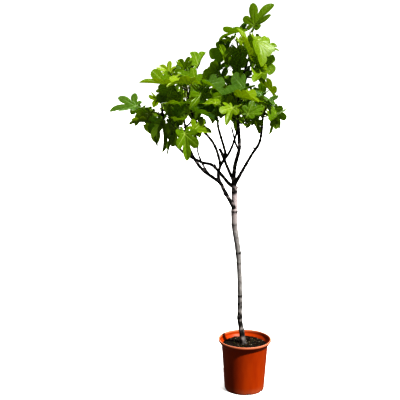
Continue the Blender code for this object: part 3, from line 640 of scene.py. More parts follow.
def grow_leaves(space, shoot):
    """Leaves set in a spiral down a shoot from its tip, the young ones raised, the old ones hanging."""
    headings = headings_of(shoot.path)
    start_turn = random.Random(shoot.seed).uniform(0, 360)
    leaves = []
    travelled = FIRST_NODE
    for order in range(shoot.leaves):
        index = len(shoot.path) - 1 - round(travelled / CURVE_STEP)
        if index < LOWEST_NODE:
            break
        age = order / max(AGED_LEAVES, shoot.leaves - 1)
        mark = shoot.seed * LEAF_SEEDS + order
        dice = random.Random(mark)
        length = LEAF_LENGTH * dice.uniform(*LEAF_SIZES)
        aimed = shoot.aim is not None and order == 0
        stalk_length = YOUNG_STALK + (OLD_STALK - YOUNG_STALK) * age + dice.uniform(*STALK_SPREAD)
        lean = math.radians(YOUNG_LEAN + (OLD_LEAN - YOUNG_LEAN) * age)
        for attempt in range(TRIES):
            spread = TURN_SPREAD + TURN_SPREAD_PER_TRY * attempt
            azimuth = start_turn + SPIRAL_DEGREES * order + dice.uniform(-spread, spread)
            elevation = YOUNG_RISE + (OLD_RISE - YOUNG_RISE) * age ** RISE_BEND
            elevation += dice.gauss(0, RISE_SPREAD + attempt)
            sun = dice.uniform(*SUN_RANGE)
            if aimed:
                azimuth = shoot.aim[0] + dice.gauss(0, AIM_SPREAD + attempt)
                elevation = shoot.aim[1] + dice.gauss(0, AIM_SPREAD + attempt)
                length = LEAF_LENGTH * shoot.aim[2]
                sun = AIM_SUN
            elevation = max(STEEPEST_FALL, min(STEEPEST_RISE, elevation))
            leaf = try_leaf(space, shoot.path[index], headings[index], lean, math.radians(azimuth),
                            math.radians(elevation), stalk_length,
                            length * (1 - SHRINK_PER_TRY * attempt), sun, dice)
            if leaf:
                leaves.append(leaf._replace(age=age, mark=mark))
                break
        travelled += INTERNODE * dice.uniform(*INTERNODE_SPREAD)
    return leaves


def shoot_radii(path, start_radius):
    """A shoot's radius at each point of its path, pointed at its bud."""
    radii = []
    length = (len(path) - 1) * CURVE_STEP
    for index in range(len(path)):
        to_tip = length - index * CURVE_STEP
        radius = SHOOT_RADIUS + (start_radius - SHOOT_RADIUS) * to_tip / length
        radii.append(radius * (BUD_POINT + (1 - BUD_POINT) * min(1.0, to_tip / BUD_LENGTH)))
    return radii


def every(items, step):
    """Every so many items of a list of four or more, with its third last and its last."""
    return [*items[:-3:step], items[-3], items[-1]]


def shoot_tube(shoot):
    """A shoot's closed tube, in a few rings."""
    rings = every(range(len(shoot.path)), SHOOT_RING_STEP)
    headings = headings_of(shoot.path)
    headings[0] = shoot.heading
    radii = shoot_radii(shoot.path, shoot.radius)
    return tube([shoot.path[i] for i in rings], [headings[i] for i in rings],
                [radii[i] for i in rings], SHOOT_SIDES)


def bough_path(name):
    """The whole path of a bough and of the stem that grows on from it, and where the stem begins."""
    bough = BOUGHS[name]
    stem = next((mass.stem for mass in MASSES.values() if mass.bough == name), ())
    whole = curve_through((*bough.route, *stem))
    tip = min(range(len(whole)), key=lambda i: (whole[i] - Vector(bough.route[-1])).length)
    return whole, tip


def bough_tube(name):
    """A bough's closed tube in a few rings, as the growing rule tests it."""
    bough = BOUGHS[name]
    whole, tip = bough_path(name)
    headings = headings_of(whole)
    if not bough.parents:
        headings[0] = headings_of(curve_through(TRUNK_ROUTE))[-1]
        whole[0] = whole[0] + headings[0] * GAP
    rings = [*range(0, tip, BOUGH_RING_STEP), tip]
    radii = [bough.start_radius + (bough.tip_radius - bough.start_radius) * i / tip for i in rings]
    return tube([whole[i] for i in rings], [headings[i] for i in rings], radii, BOUGH_SIDES)


def trunk_girth(share):
    """The trunk's girth at a share of its length, against its middling girth."""
    for (low, thin), (high, thick) in zip(TRUNK_GIRTH, TRUNK_GIRTH[1:]):
        if share <= high:
            return thin + (thick - thin) * (share - low) / (high - low)
    return TRUNK_GIRTH[-1][1]


def trunk_radius(path, index):
    """The trunk's radius at a point of its path, without its knots."""
    rise = path[index].z - path[0].z
    return TRUNK_RADIUS * trunk_girth(index / (len(path) - 1)) + FLARE * math.exp(-rise / FLARE_HEIGHT)


def trunk_tube():
    """The trunk's closed tube in a few rings, as the growing rule tests it."""
    path = curve_through(TRUNK_ROUTE)
    headings = headings_of(path)
    headings[0] = Vector((0, 0, 1))
    knots = [min(range(len(path)), key=lambda i: abs(path[i].z - height)) for height in KNOT_HEIGHTS]
    reach = round(KNOT_HALF_LENGTH / CURVE_STEP)
    rings = {*TRUNK_RINGS, len(path) - 1}
    rings.update(range(TRUNK_RING_STEP, len(path) - TRUNK_RINGS_END, TRUNK_RING_STEP))
    for knot in knots:
        rings -= set(range(knot - reach - KNOT_MARGIN, knot + reach + KNOT_MARGIN + 1))
        rings |= {knot - reach, knot, knot + reach}
    rings = sorted(rings)
    radii = [trunk_radius(path, i) + (KNOT_SWELL if i in knots else 0.0) for i in rings]
    return tube([path[i] for i in rings], [headings[i] for i in rings], radii, TRUNK_SIDES)


def mass_shoots(mass):
    """A mass's stem, which starts a gap beyond its bough's tip, and its side shoots."""
    whole, tip = bough_path(mass.bough)
    stem = whole[tip:]
    heading = headings_of(whole)[tip]
    stem[0] = stem[0] + heading * GAP
    shoots = [Shoot(stem, heading, BOUGHS[mass.bough].tip_radius, mass.leaves, mass.seed, mass.aim)]
    for share, end, leaves, seed, *aim in mass.shoots:
        root = stem[round(share * (len(stem) - 1))]
        bend = root.lerp(Vector(end), 0.5) - Vector((0, 0, SIDE_SHOOT_SAG))
        path = curve_through((root, bend, end))
        heading = headings_of(path)[0]
        shoots.append(Shoot(path, heading, SHOOT_RADIUS, leaves, seed, aim[0] if aim else None))
    return shoots


@cache
def grow_crown():
    """Every shoot and every leaf of the crown, mass by mass."""
    space = Space()
    space.add(*trunk_tube())
    for name in BOUGHS:
        space.add(*bough_tube(name))
    shoots = {name: mass_shoots(mass) for name, mass in MASSES.items()}
    for name in MASSES:
        for shoot in shoots[name]:
            space.add(*shoot_tube(shoot))
    leaves = []
    for name in MASSES:
        for shoot in sorted(shoots[name], key=lambda shoot: shoot.aim is None):
            leaves.extend(grow_leaves(space, shoot))
    return [shoot for name in MASSES for shoot in shoots[name]], leaves


# Making and finishing pieces


def pick(*items):
    """Select these objects alone, the first one active."""
    bpy.ops.object.select_all(action="DESELECT")
    for item in items:
        item.select_set(True)
    bpy.context.view_layer.objects.active = items[0]


def add_mesh(name, points, faces, edges=()):
    """A mesh object from corner points and faces."""
    mesh = bpy.data.meshes.new(name)
    mesh.from_pydata(points, edges, faces)
    item = bpy.data.objects.new(name, mesh)
    bpy.context.scene.collection.objects.link(item)
    pick(item)
    return item


def apply_modifier(item, kind, **settings):
    """Add a modifier with its settings and apply it."""
    pick(item)
    bpy.ops.object.modifier_add(type=kind)
    modifier = item.modifiers[-1]
    for name, value in settings.items():
        setattr(modifier, name, value)
    bpy.ops.object.modifier_apply(modifier=modifier.name)


def smooth(item, degrees):
    """Shade a piece smooth, with its sharp edges kept."""
    pick(item)
    bpy.ops.object.shade_smooth_by_angle(angle=math.radians(degrees))


def turned(name, profile, steps):
    """Spin a profile of (radius, height) points round the Z axis in edit mode."""
    points = [(radius, 0.0, height) for radius, height in profile]
    item = add_mesh(name, points, [], [(i, i + 1) for i in range(len(points) - 1)])
    bpy.ops.object.mode_set(mode="EDIT")
    bpy.ops.mesh.select_all(action="SELECT")
    bpy.ops.mesh.spin(steps=steps, angle=math.tau, center=(0, 0, 0), axis=(0, 0, 1))
    bpy.ops.mesh.select_all(action="SELECT")
    bpy.ops.mesh.remove_doubles(threshold=1e-5)
    bpy.ops.mesh.normals_make_consistent(inside=False)
    bpy.ops.object.mode_set(mode="OBJECT")
    return item


def sweep(name, runs, sides):
    """Round tubes along runs of (points, radii), in one mesh."""
    curve = bpy.data.curves.new(name, "CURVE")
    curve.dimensions = "3D"
    curve.bevel_depth = 1.0
    curve.bevel_resolution = (sides - 4) // 2
    curve.use_fill_caps = True
    for points, radii in runs:
        spline = curve.splines.new("POLY")
        spline.points.add(len(points) - 1)
        for knot, place, radius in zip(spline.points, points, radii):
            knot.co = (*place, 1.0)
            knot.radius = radius
    item = bpy.data.objects.new(name, curve)
    bpy.context.scene.collection.objects.link(item)
    pick(item)
    bpy.ops.object.convert(target="MESH")
    return bpy.context.object


def search_tree(places):
    """A tree that finds the number of the nearest place."""
    tree = KDTree(len(places))
    for index, place in enumerate(places):
        tree.insert(place, index)
    tree.balance()
    return tree


def point_values(item, name, values):
    """Store one number for each corner point of a piece."""
    layer = item.data.attributes.new(name, "FLOAT", "POINT")
    layer.data.foreach_set("value", values)


def finish_piece(item, materials, nodes=()):
    """Give a piece its materials, its body and the nodes that it stands for."""
    item.data.materials.clear()
    for material in materials:
        item.data.materials.append(material)
    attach(item, "root")
    if nodes:
        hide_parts(*nodes)


# Materials


def set_inputs(tree, node, inputs):
    """Set a node's inputs to values, or link them to other nodes' outputs."""
    for name, value in inputs.items():
        if isinstance(value, bpy.types.NodeSocket):
            tree.links.new(value, node.inputs[name])
        else:
            node.inputs[name].default_value = value


def add_node(tree, kind, inputs=None, stops=(), out=0, **settings):
    """Add a node with its settings, inputs and colour stops, and give one of its outputs."""
    made = tree.nodes.new("ShaderNode" + kind)
    for name, value in settings.items():
        setattr(made, name, value)
    set_inputs(tree, made, inputs or {})
    for index, (place, code) in enumerate(stops):
        elements = made.color_ramp.elements
        stop = elements[index] if index < len(elements) else elements.new(place)
        stop.position = place
        stop.color = opaque(code)
    return made.outputs[out]


def new_material(name):
    """An empty node material, with its tree, shader and output."""
    material = bpy.data.materials.new(name)
    material.use_nodes = True
    tree = material.node_tree
    tree.nodes.clear()
    output = tree.nodes.new("ShaderNodeOutputMaterial")
    shader = tree.nodes.new("ShaderNodeBsdfPrincipled")
    tree.links.new(shader.outputs[0], output.inputs["Surface"])
    return material, tree, shader, output


def leaf_material(name, blade, dark_blade, vein, through, roughness, vein_height):
    """Living fig leaf: leathery and faintly rough, so its shine is broad, with pale branching veins."""
    material, tree, shader, output = new_material(name)
    place = add_node(tree, "TexCoord", out="Object")
    along = add_node(tree, "SeparateXYZ", {0: add_node(tree, "UVMap", uv_map="veins")})
    off = along.node.outputs["Y"]
    # Main veins, drawn about 2 mm wide at the joint, which is twice the real width, to show
    width = add_node(tree, "Math", {0: along, 1: -0.011, 2: 0.0016}, operation="MULTIPLY_ADD")
    inside = add_node(tree, "Math", {0: width, 1: off}, operation="SUBTRACT")
    main = add_node(tree, "Math", {0: inside, 1: 1400.0}, operation="MULTIPLY", use_clamp=True)
    # Side veins, one each 11 mm, leaning forward
    lean = add_node(tree, "Math", {0: off, 1: -0.85, 2: along}, operation="MULTIPLY_ADD")
    step = add_node(tree, "Math", {0: lean, 1: 0.011}, operation="DIVIDE")
    beat = add_node(tree, "Math", {0: step, 1: 1.0}, operation="PINGPONG")
    side = add_node(tree, "Math", {0: beat, 1: -9.0, 2: 1.0}, operation="MULTIPLY_ADD", use_clamp=True)
    side_part = add_node(tree, "Math", {0: side, 1: 0.45}, operation="MULTIPLY")
    veins = add_node(tree, "Math", {0: main, 1: side_part}, operation="MAXIMUM")
    # Flesh, mottled over 22 mm, each leaf with a shade of its own
    mottle = add_node(tree, "TexNoise", {"Vector": place, "Scale": 1 / 0.022, "Detail": 3.0})
    shade = add_node(tree, "Attribute", out="Fac", attribute_name="shade")
    mixed = add_node(tree, "Math", {0: mottle, 1: 0.55, 2: shade}, operation="MULTIPLY_ADD",
                     use_clamp=True)
    flesh = add_node(tree, "ValToRGB", {"Fac": mixed}, ((0.15, dark_blade), (0.95, blade)))
    colour = add_node(tree, "Mix", {0: veins, 6: flesh, 7: opaque(vein)}, out=2, data_type="RGBA")
    grain = add_node(tree, "TexNoise", {"Vector": place, "Scale": 1 / 0.0025, "Detail": 2.0})
    relief = add_node(tree, "Math", {0: veins, 1: vein_height, 2: grain}, operation="MULTIPLY_ADD")
    bump = add_node(tree, "Bump", {"Height": relief, "Distance": 0.0006, "Strength": 0.55})
    set_inputs(tree, shader, {"Base Color": colour, "Normal": bump, "Roughness": roughness, "IOR": 1.45})
    # Nearly half of what the eye gets from a blade is light that comes through it
    glow = add_node(tree, "BsdfTranslucent", {"Color": opaque(through), "Normal": bump})
    mix = add_node(tree, "MixShader", {0: 0.46, 1: shader.outputs[0], 2: glow})
    set_inputs(tree, output, {"Surface": mix})
    return material


def bark_material(looks):
    """Fig bark: a thin smooth grey skin, darker while young, with ring scars and small pores; the
    near-black bark of the boughs and the trunk's top is partly painted shade of the crown.
    """
    material, tree, shader, _ = new_material("fig bark")
    place = add_node(tree, "TexCoord", out="Object")
    tone = add_node(tree, "Attribute", out="Fac", attribute_name="tone")
    scar = add_node(tree, "Attribute", out="Fac", attribute_name="scar")
    # Blotches of 12 mm, drawn out up the limb
    tall = add_node(tree, "Mapping", {"Vector": place, "Scale": (1.0, 1.0, 0.45)})
    blotch = add_node(tree, "TexNoise", {"Vector": tall, "Scale": 1 / 0.012, "Detail": 6.0,
                                         "Roughness": 0.62})
    # Pores 6 mm apart, drawn out round the limb
    broad = add_node(tree, "Mapping", {"Vector": place, "Scale": (0.5, 0.5, 1.6)})
    pores = add_node(tree, "TexVoronoi", {"Vector": broad, "Scale": 1 / 0.006})
    pore = add_node(tree, "Math", {0: pores, 1: -5.0, 2: 1.6}, operation="MULTIPLY_ADD", use_clamp=True)
    old = add_node(tree, "ValToRGB", {"Fac": blotch},
                   ((0.28, looks.old_shaded), (0.5, looks.old), (0.72, looks.old_pale)))
    young = add_node(tree, "ValToRGB", {"Fac": blotch}, ((0.3, looks.young_shaded), (0.72, looks.young)))
    # The trunk's bark pales to pink over its upper part
    height = add_node(tree, "SeparateXYZ", {0: place}, out="Z")
    upper = add_node(tree, "MapRange", {"Value": height, "From Min": 0.78, "From Max": 0.92})
    skin = old
    # The tone brings in the boughs' dark bark, which is partly painted shade of the crown
    for share, shown in ((upper, opaque(looks.upper)), (tone, young), (pore, opaque(looks.pore)),
                         (scar, opaque(looks.scar))):
        skin = add_node(tree, "Mix", {0: share, 6: skin, 7: shown}, out=2, data_type="RGBA")
    fine = add_node(tree, "TexNoise", {"Vector": broad, "Scale": 1 / 0.0015, "Detail": 4.0})
    relief = add_node(tree, "Math", {0: pore, 1: 0.6, 2: fine}, operation="MULTIPLY_ADD")
    bump = add_node(tree, "Bump", {"Height": relief, "Distance": 0.0007, "Strength": 0.8})
    set_inputs(tree, shader, {"Base Color": skin, "Normal": bump, "Roughness": 0.78, "IOR": 1.45})
    return material


def shoot_material(looks):
    """Young fig wood: grey-brown at its foot and soft green at its tip, with a waxy skin."""
    material, tree, shader, _ = new_material("young fig shoot")
    place = add_node(tree, "TexCoord", out="Object")
    youth = add_node(tree, "Attribute", out="Fac", attribute_name="youth")
    blotch = add_node(tree, "TexNoise", {"Vector": place, "Scale": 1 / 0.006, "Detail": 4.0})
    spread = add_node(tree, "Math", {0: blotch, 1: 0.3, 2: youth}, operation="MULTIPLY_ADD",
                      use_clamp=True)
    skin = add_node(tree, "ValToRGB", {"Fac": spread},
                    ((0.15, looks.young_shaded), (0.55, looks.shoot), (0.95, looks.shoot_tip)))
    bump = add_node(tree, "Bump", {"Height": blotch, "Distance": 0.0004, "Strength": 0.6})
    set_inputs(tree, shader, {"Base Color": skin, "Normal": bump, "Roughness": 0.5, "IOR": 1.45})
    return material


def stalk_material(looks):
    """Leaf stalk: soft yellow-green flesh with a light bloom."""
    material, tree, shader, _ = new_material("fig leaf stalk")
    place = add_node(tree, "TexCoord", out="Object")
    streak = add_node(tree, "TexNoise", {"Vector": place, "Scale": 1 / 0.009, "Detail": 2.0})
    skin = add_node(tree, "ValToRGB", {"Fac": streak}, ((0.3, looks.stalk_shaded), (0.7, looks.stalk)))
    set_inputs(tree, shader, {"Base Color": skin, "Roughness": 0.45, "IOR": 1.45})
    return material


def pot_material(looks):
    """Moulded polypropylene in a terracotta colour: satin, faintly rippled, dusty near the foot."""
    material, tree, shader, _ = new_material("moulded polypropylene")
    place = add_node(tree, "TexCoord", out="Object")
    flow = add_node(tree, "Mapping", {"Vector": place, "Scale": (1.0, 1.0, 0.25)})
    cloud = add_node(tree, "TexNoise", {"Vector": flow, "Scale": 1 / 0.03, "Detail": 4.0})
    plastic = add_node(tree, "ValToRGB", {"Fac": cloud},
                       ((0.3, looks.plastic_shaded), (0.7, looks.plastic)))
    # Dust settles on the lowest 40 mm in patches of about 12 mm
    height = add_node(tree, "SeparateXYZ", {0: place}, out="Z")
    low = add_node(tree, "Math", {0: height, 1: -25.0, 2: 0.9}, operation="MULTIPLY_ADD", use_clamp=True)
    patch = add_node(tree, "TexNoise", {"Vector": place, "Scale": 1 / 0.012, "Detail": 6.0})
    dusty = add_node(tree, "Math", {0: low, 1: patch}, operation="MULTIPLY")
    dust = add_node(tree, "Math", {0: dusty, 1: 0.5}, operation="MULTIPLY")
    dusted = add_node(tree, "Mix", {0: dust, 6: plastic, 7: opaque(looks.dust)}, out=2, data_type="RGBA")
    # The lip is painted pale over its top 8 to 9 mm, a painted highlight of the light on its roll
    lip_highlight = add_node(tree, "MapRange", {"Value": height, "From Min": POT_HEIGHT - 0.0095,
                                      "From Max": POT_HEIGHT - 0.0075, "To Max": 0.55})
    colour = add_node(tree, "Mix", {0: lip_highlight, 6: dusted, 7: opaque(looks.lip_highlight)}, out=2, data_type="RGBA")
    sheen = add_node(tree, "MapRange", {"Value": patch, "To Min": 0.34, "To Max": 0.48})
    grain = add_node(tree, "TexNoise", {"Vector": place, "Scale": 1 / 0.0012, "Detail": 2.0})
    bump = add_node(tree, "Bump", {"Height": grain, "Distance": 0.0002, "Strength": 0.5})
    set_inputs(tree, shader, {"Base Color": colour, "Roughness": sheen, "Normal": bump, "IOR": 1.49,
                              "Specular IOR Level": 0.25})
    return material


def crumb_material(name, dark, light, size, roughness):
    """Potting mix: matt broken crumbs, each size of lump with its own colours."""
    material, tree, shader, _ = new_material(name)
    place = add_node(tree, "TexCoord", out="Object")
    lump = add_node(tree, "TexVoronoi", {"Vector": place, "Scale": 1 / size})
    fleck = add_node(tree, "TexNoise", {"Vector": place, "Scale": 2.5 / size, "Detail": 5.0})
    blend = add_node(tree, "Math", {0: lump, 1: 0.4, 2: fleck}, operation="MULTIPLY_ADD")
    colour = add_node(tree, "ValToRGB", {"Fac": blend}, ((0.45, dark), (0.9, light)))
    bump = add_node(tree, "Bump", {"Height": blend, "Distance": 0.0015, "Strength": 0.9})
    set_inputs(tree, shader, {"Base Color": colour, "Normal": bump, "Roughness": roughness,
                              "Specular IOR Level": 0.15})
    return material


def floor_material(looks):
    """Matt studio paper: pale where it is looked at, and dark to the light that would bounce off it."""
    material, tree, shader, _ = new_material("matt studio paper")
    seen = add_node(tree, "LightPath", out="Is Camera Ray")
    colour = add_node(tree, "Mix", {0: seen, 6: opaque(looks.floor_bounce), 7: opaque(looks.floor)},
                      out=2, data_type="RGBA")
    set_inputs(tree, shader, {"Base Color": colour, "Roughness": 0.9})
    return material


# Sizes and colours that may be changed


def size_setting(name, description, default, low, high):
    """A setting in metres."""
    return bpy.props.FloatProperty(name=name, description=description, default=default, min=low,
                                   max=high, unit="LENGTH")


def strength_setting(name, description, default):
    """A setting for the strength of a light."""
    return bpy.props.FloatProperty(name=name, description=description, default=default, min=0.0)


def colour_setting(name, part, default):
    """A setting that holds the sRGB hex colour of a part."""
    return bpy.props.StringProperty(name=name, description="sRGB hex colour of " + part, default=default)


class LeafLooks(bpy.types.PropertyGroup):
    """Leaf finishes."""

    thickness: size_setting("Blade thickness", "Thickness of each leaf", 0.0007, 0.0003, 0.002)
    wave: size_setting("Edge wave", "Height of the waves at a leaf's edge", 0.0028, 0.0, 0.01)
    quilt: size_setting("Quilting", "Rise of the blade between its veins", 0.0026, 0.0, 0.005)


class BarkLooks(bpy.types.PropertyGroup):
    """Bark and shoot finishes."""

    relief: size_setting("Bark relief", "Height of the bark's lumps", 0.0005, 0.0, 0.003)
    voxel: size_setting("Skin detail", "Size of the bark mesh's cells", 0.0018, 0.0012, 0.004)
    old: colour_setting("Old bark", "the trunk's bark", "#9C9894")
    old_pale: colour_setting("Old bark, pale", "the pale blotches", "#BDB8B3")
    old_shaded: colour_setting("Old bark, dark", "the dark blotches", "#6C6762")
    upper: colour_setting("Upper bark", "the trunk's upper part", "#CFC0BE")
    # The boughs' near-black bark is partly the darker young bark and partly painted shade of the crown
    young: colour_setting("Bough bark", "the boughs' bark", "#1F1B18")
    young_shaded: colour_setting("Bough bark, dark", "its dark blotches", "#0B0A09")
    pore: colour_setting("Pores", "the bark's pores", "#5F574F")
    scar: colour_setting("Ring scars", "the old leaf rings", "#15110F")
    shoot: colour_setting("Shoots", "young wood", "#5B5A34")
    shoot_tip: colour_setting("Shoot tips", "the green tips", "#6E8A2C")
    stalk: colour_setting("Leaf stalks", "the stalks", "#9CB04C")
    stalk_shaded: colour_setting("Leaf stalks, dark", "their dark streaks", "#6F8534")


class PotLooks(bpy.types.PropertyGroup):
    """Pot finishes."""

    steps: bpy.props.IntProperty(
        name="Steps", description="Flats round the pot", default=128, min=32, max=256)
    plastic: colour_setting("Plastic", "the pot", "#BE4B00")
    plastic_shaded: colour_setting("Plastic, dark", "its darker streaks", "#AE3F00")
    # The lip's colour is a painted highlight of the light on the rolled lip
    lip_highlight: colour_setting("Lip", "the painted lip", "#E8A07C")
    dust: colour_setting("Dust", "the dust near the foot", "#B99B84")


class MixLooks(bpy.types.PropertyGroup):
    """Potting mix finishes."""

    crumbs: bpy.props.IntProperty(
        name="Crumbs", description="Loose crumbs on the potting mix", default=520, min=0, max=3000)
    lumps: size_setting("Lumps", "Height of the potting mix's lumps", 0.0035, 0.0, 0.01)
    peat: colour_setting("Peat", "the potting mix", "#21180F")
    peat_shaded: colour_setting("Peat, dark", "its dark crumbs", "#080503")


class StageLooks(bpy.types.PropertyGroup):
    """Studio light."""

    key: strength_setting("Key light", "Strength of the main light", 4.8)
    back: strength_setting("Back light", "Strength of the soft light from behind", 1.3)
    sky: strength_setting("Sky", "Strength of the light from all round", 0.14)
    wash: strength_setting("Floor wash", "Strength of the soft light on the floor alone", 3.0)
    floor: colour_setting("Floor", "the floor", "#EDEDEB")
    floor_bounce: colour_setting("Floor bounce", "the light that the floor sends back", "#1C1C1A")
    contrast: bpy.props.StringProperty(
        name="Contrast", description="Name of the view's contrast setting", default="High Contrast")


# Pot and potting mix


def wall_radius(height):
    """The pot's outer radius on its tapering wall."""
    return FOOT_RADIUS + (NECK_RADIUS - FOOT_RADIUS) * height / NECK_HEIGHT


def rounded(profile):
    """A profile with each of its corners eased into a short curve."""
    places = [Vector(place) for place in profile]
    eased = [tuple(places[0])]
    for before, corner, after in zip(places, places[1:], places[2:]):
        ends = []
        for other in (before, after):
            side = other - corner
            ends.append(corner + side.normalized() * min(CORNER_EASE, side.length * CORNER_SHARE))
        for index in range(CORNER_STEPS + 1):
            t = index / CORNER_STEPS
            eased.append(tuple(ends[0] * (1 - t) ** 2 + corner * 2 * t * (1 - t) + ends[1] * t * t))
    return [*eased, tuple(places[-1])]


def pot_profile():
    """The pot's section, from the middle of its underside round to the middle of its floor."""
    return (
        (0.0, 0.0),
        (CENTRE_PAD_RADIUS, 0.0),
        (CENTRE_PAD_RADIUS + 0.002, FOOT_RECESS),
        (FOOT_RADIUS - FOOT_WIDTH - 0.002, FOOT_RECESS),
        (FOOT_RADIUS - FOOT_WIDTH, 0.0),
        (FOOT_RADIUS - 0.0010, 0.0),
        (wall_radius(0.008), 0.008),
        (wall_radius(0.012), 0.012),
        (wall_radius(0.120), 0.120),
        (NECK_RADIUS, NECK_HEIGHT - 0.001),
        (NECK_RADIUS + 0.0075, NECK_HEIGHT + 0.008),
        (RIM_RADIUS - 0.0060, POT_HEIGHT - 0.0120),
        (RIM_RADIUS - 0.0006, POT_HEIGHT - 0.0105),
        (RIM_RADIUS, POT_HEIGHT - 0.0042),
        (RIM_RADIUS - 0.0009, POT_HEIGHT - 0.0006),
        (RIM_RADIUS - 0.0042, POT_HEIGHT),
        (RIM_RADIUS - 0.0070, POT_HEIGHT - 0.0020),
        (RIM_RADIUS - 0.0075, POT_HEIGHT - 0.010),
        (NECK_RADIUS + 0.0075, NECK_HEIGHT + 0.0115),
        (NECK_RADIUS - WALL, NECK_HEIGHT - 0.002),
        (wall_radius(FLOOR_LEVEL + 0.004) - WALL, FLOOR_LEVEL + 0.004),
        (wall_radius(FLOOR_LEVEL) - WALL - 0.004, FLOOR_LEVEL),
        (0.0, FLOOR_LEVEL),
    )


class FIGTREE_OT_pot(bpy.types.Operator):
    """Turn the pot, cut its drainage notches and give it its plastic"""

    bl_idname = "figtree.pot"
    bl_label = "Pot"

    def execute(self, context):
        looks = context.scene.figtree_pot
        pot = turned("nursery_pot", rounded(pot_profile()), looks.steps)
        cutters = []
        for index in range(FOOT_NOTCHES):
            spin = math.tau * index / FOOT_NOTCHES + math.radians(NOTCH_TURN_DEGREES)
            turn = Matrix.Rotation(spin, 4, "Z")
            bpy.ops.mesh.primitive_cube_add(
                size=1.0, location=turn @ Vector((FOOT_RADIUS, 0, 0)), rotation=turn.to_euler(),
                scale=(NOTCH_LENGTH, NOTCH_WIDTH, 2 * NOTCH_DEPTH))
            cutters.append(context.object)
        pick(*cutters)
        bpy.ops.object.join()
        cutter = context.object
        bpy.ops.object.transform_apply(location=True, rotation=True, scale=True)
        apply_modifier(cutter, "BEVEL", width=NOTCH_ROUNDING, segments=3)
        apply_modifier(pot, "BOOLEAN", operation="DIFFERENCE", solver="EXACT", object=cutter)
        bpy.data.objects.remove(cutter, do_unlink=True)
        smooth(pot, 32)
        finish_piece(pot, [pot_material(looks)], ["pot"])
        return {"FINISHED"}


def soil_height(x, y):
    """How high the potting mix stands: heaped in the middle, and higher at the back."""
    out = math.hypot(x, y) / NECK_RADIUS
    heap = SOIL_HEAP * max(0.0, 1 - out * out)
    return SOIL_LEVEL - SOIL_EDGE_DROP * out ** 3 + heap + SOIL_TILT * y / NECK_RADIUS


class FIGTREE_OT_potting_mix(bpy.types.Operator):
    """Heap the potting mix in the pot, lumpy on top"""

    bl_idname = "figtree.potting_mix"
    bl_label = "Potting mix"

    def execute(self, context):
        looks = context.scene.figtree_mix
        edge = wall_radius(SOIL_LEVEL) - WALL + GAP
        foot = wall_radius(FLOOR_LEVEL) - WALL - SOIL_FOOT_MARGIN
        profile = [(0.0, FLOOR_LEVEL + GAP), (foot, FLOOR_LEVEL + GAP),
                   (edge - SOIL_SIDE_MARGIN, SOIL_LEVEL - SOIL_SIDE_DEPTH)]
        for index in range(SOIL_RINGS + 1):
            profile.append((edge * (1 - index / SOIL_RINGS), SOIL_LEVEL))
        soil = turned("peat_and_bark_mix", profile, SOIL_STEPS)
        for corner in soil.data.vertices:
            if corner.co.z > SOIL_LEVEL - SOIL_TOP_DEPTH:
                lump = sum(noise.fractal(corner.co / size, *octaves) * share
                           for size, *octaves, share in SOIL_LUMPS)
                corner.co.z = soil_height(corner.co.x, corner.co.y) + looks.lumps * lump
        smooth(soil, 60)
        peat = crumb_material("peat and bark mix", looks.peat_shaded, looks.peat, PEAT_GRAIN,
                              PEAT_ROUGHNESS)
        finish_piece(soil, [peat], ["potting_mix"])
        return {"FINISHED"}


class FIGTREE_OT_crumbs(bpy.types.Operator):
    """Scatter loose bark chips, pale grit and bits of moss on the potting mix"""

    bl_idname = "figtree.crumbs"
    bl_label = "Crumbs"

    def execute(self, context):
        dice = random.Random(CRUMB_SEED)
        bpy.ops.mesh.primitive_ico_sphere_add(subdivisions=1, radius=1.0)
        pattern = context.object
        corners = [corner.co.copy() for corner in pattern.data.vertices]
        sides = [tuple(face.vertices) for face in pattern.data.polygons]
        bpy.data.objects.remove(pattern, do_unlink=True)
        reach = wall_radius(SOIL_LEVEL) - WALL - CRUMB_MARGIN
        points, faces, kinds = [], [], []
        for _ in range(context.scene.figtree_mix.crumbs):
            radius = reach * math.sqrt(dice.random())
            turn = dice.uniform(0, math.tau)
            kind = dice.choices(range(len(CRUMB_SHARES)), CRUMB_SHARES)[0]
            size = dice.uniform(*CRUMB_SIZES) * CRUMB_GROWTHS[kind]
            x, y = radius * math.cos(turn), radius * math.sin(turn)
            spin = Matrix.Rotation(dice.uniform(0, math.tau), 3, "Z") @ Matrix.Rotation(
                dice.uniform(-CRUMB_TILT, CRUMB_TILT), 3, "X")
            squash = [dice.uniform(*sizes) for sizes in (CRUMB_LENGTHS, CRUMB_WIDTHS, CRUMB_HEIGHTS)]
            place = Vector((x, y, soil_height(x, y) + CRUMB_LIFT))
            start = len(points)
            for corner in corners:
                knocked = Vector(corner[i] * squash[i] * dice.uniform(*CRUMB_KNOCKS) for i in range(3))
                points.append(spin @ knocked * size + place)
            faces += [tuple(start + i for i in side) for side in sides]
            kinds += [kind] * len(sides)
        crumbs = add_mesh("bark_crumbs", points, faces)
        finish_piece(crumbs, [crumb_material(*finish) for finish in CRUMB_FINISHES])
        crumbs.data.polygons.foreach_set("material_index", kinds)
        return {"FINISHED"}


# Limbs


def trunk_run():
    """The trunk's fine path and radii, from just under the potting mix to its fork."""
    path = curve_through(TRUNK_ROUTE)
    radii = []
    for index, place in enumerate(path):
        radius = trunk_radius(path, index)
        for height in KNOT_HEIGHTS:
            off = (place.z - height) / KNOT_HALF_LENGTH
            radius += KNOT_SHARE * KNOT_SWELL * math.exp(-off ** 2)
        radii.append(radius + TRUNK_GROWTH)
    return [path[0] - Vector((0, 0, FOOT_DEPTH)), *path], [radii[0] * FOOT_SPREAD, *radii]


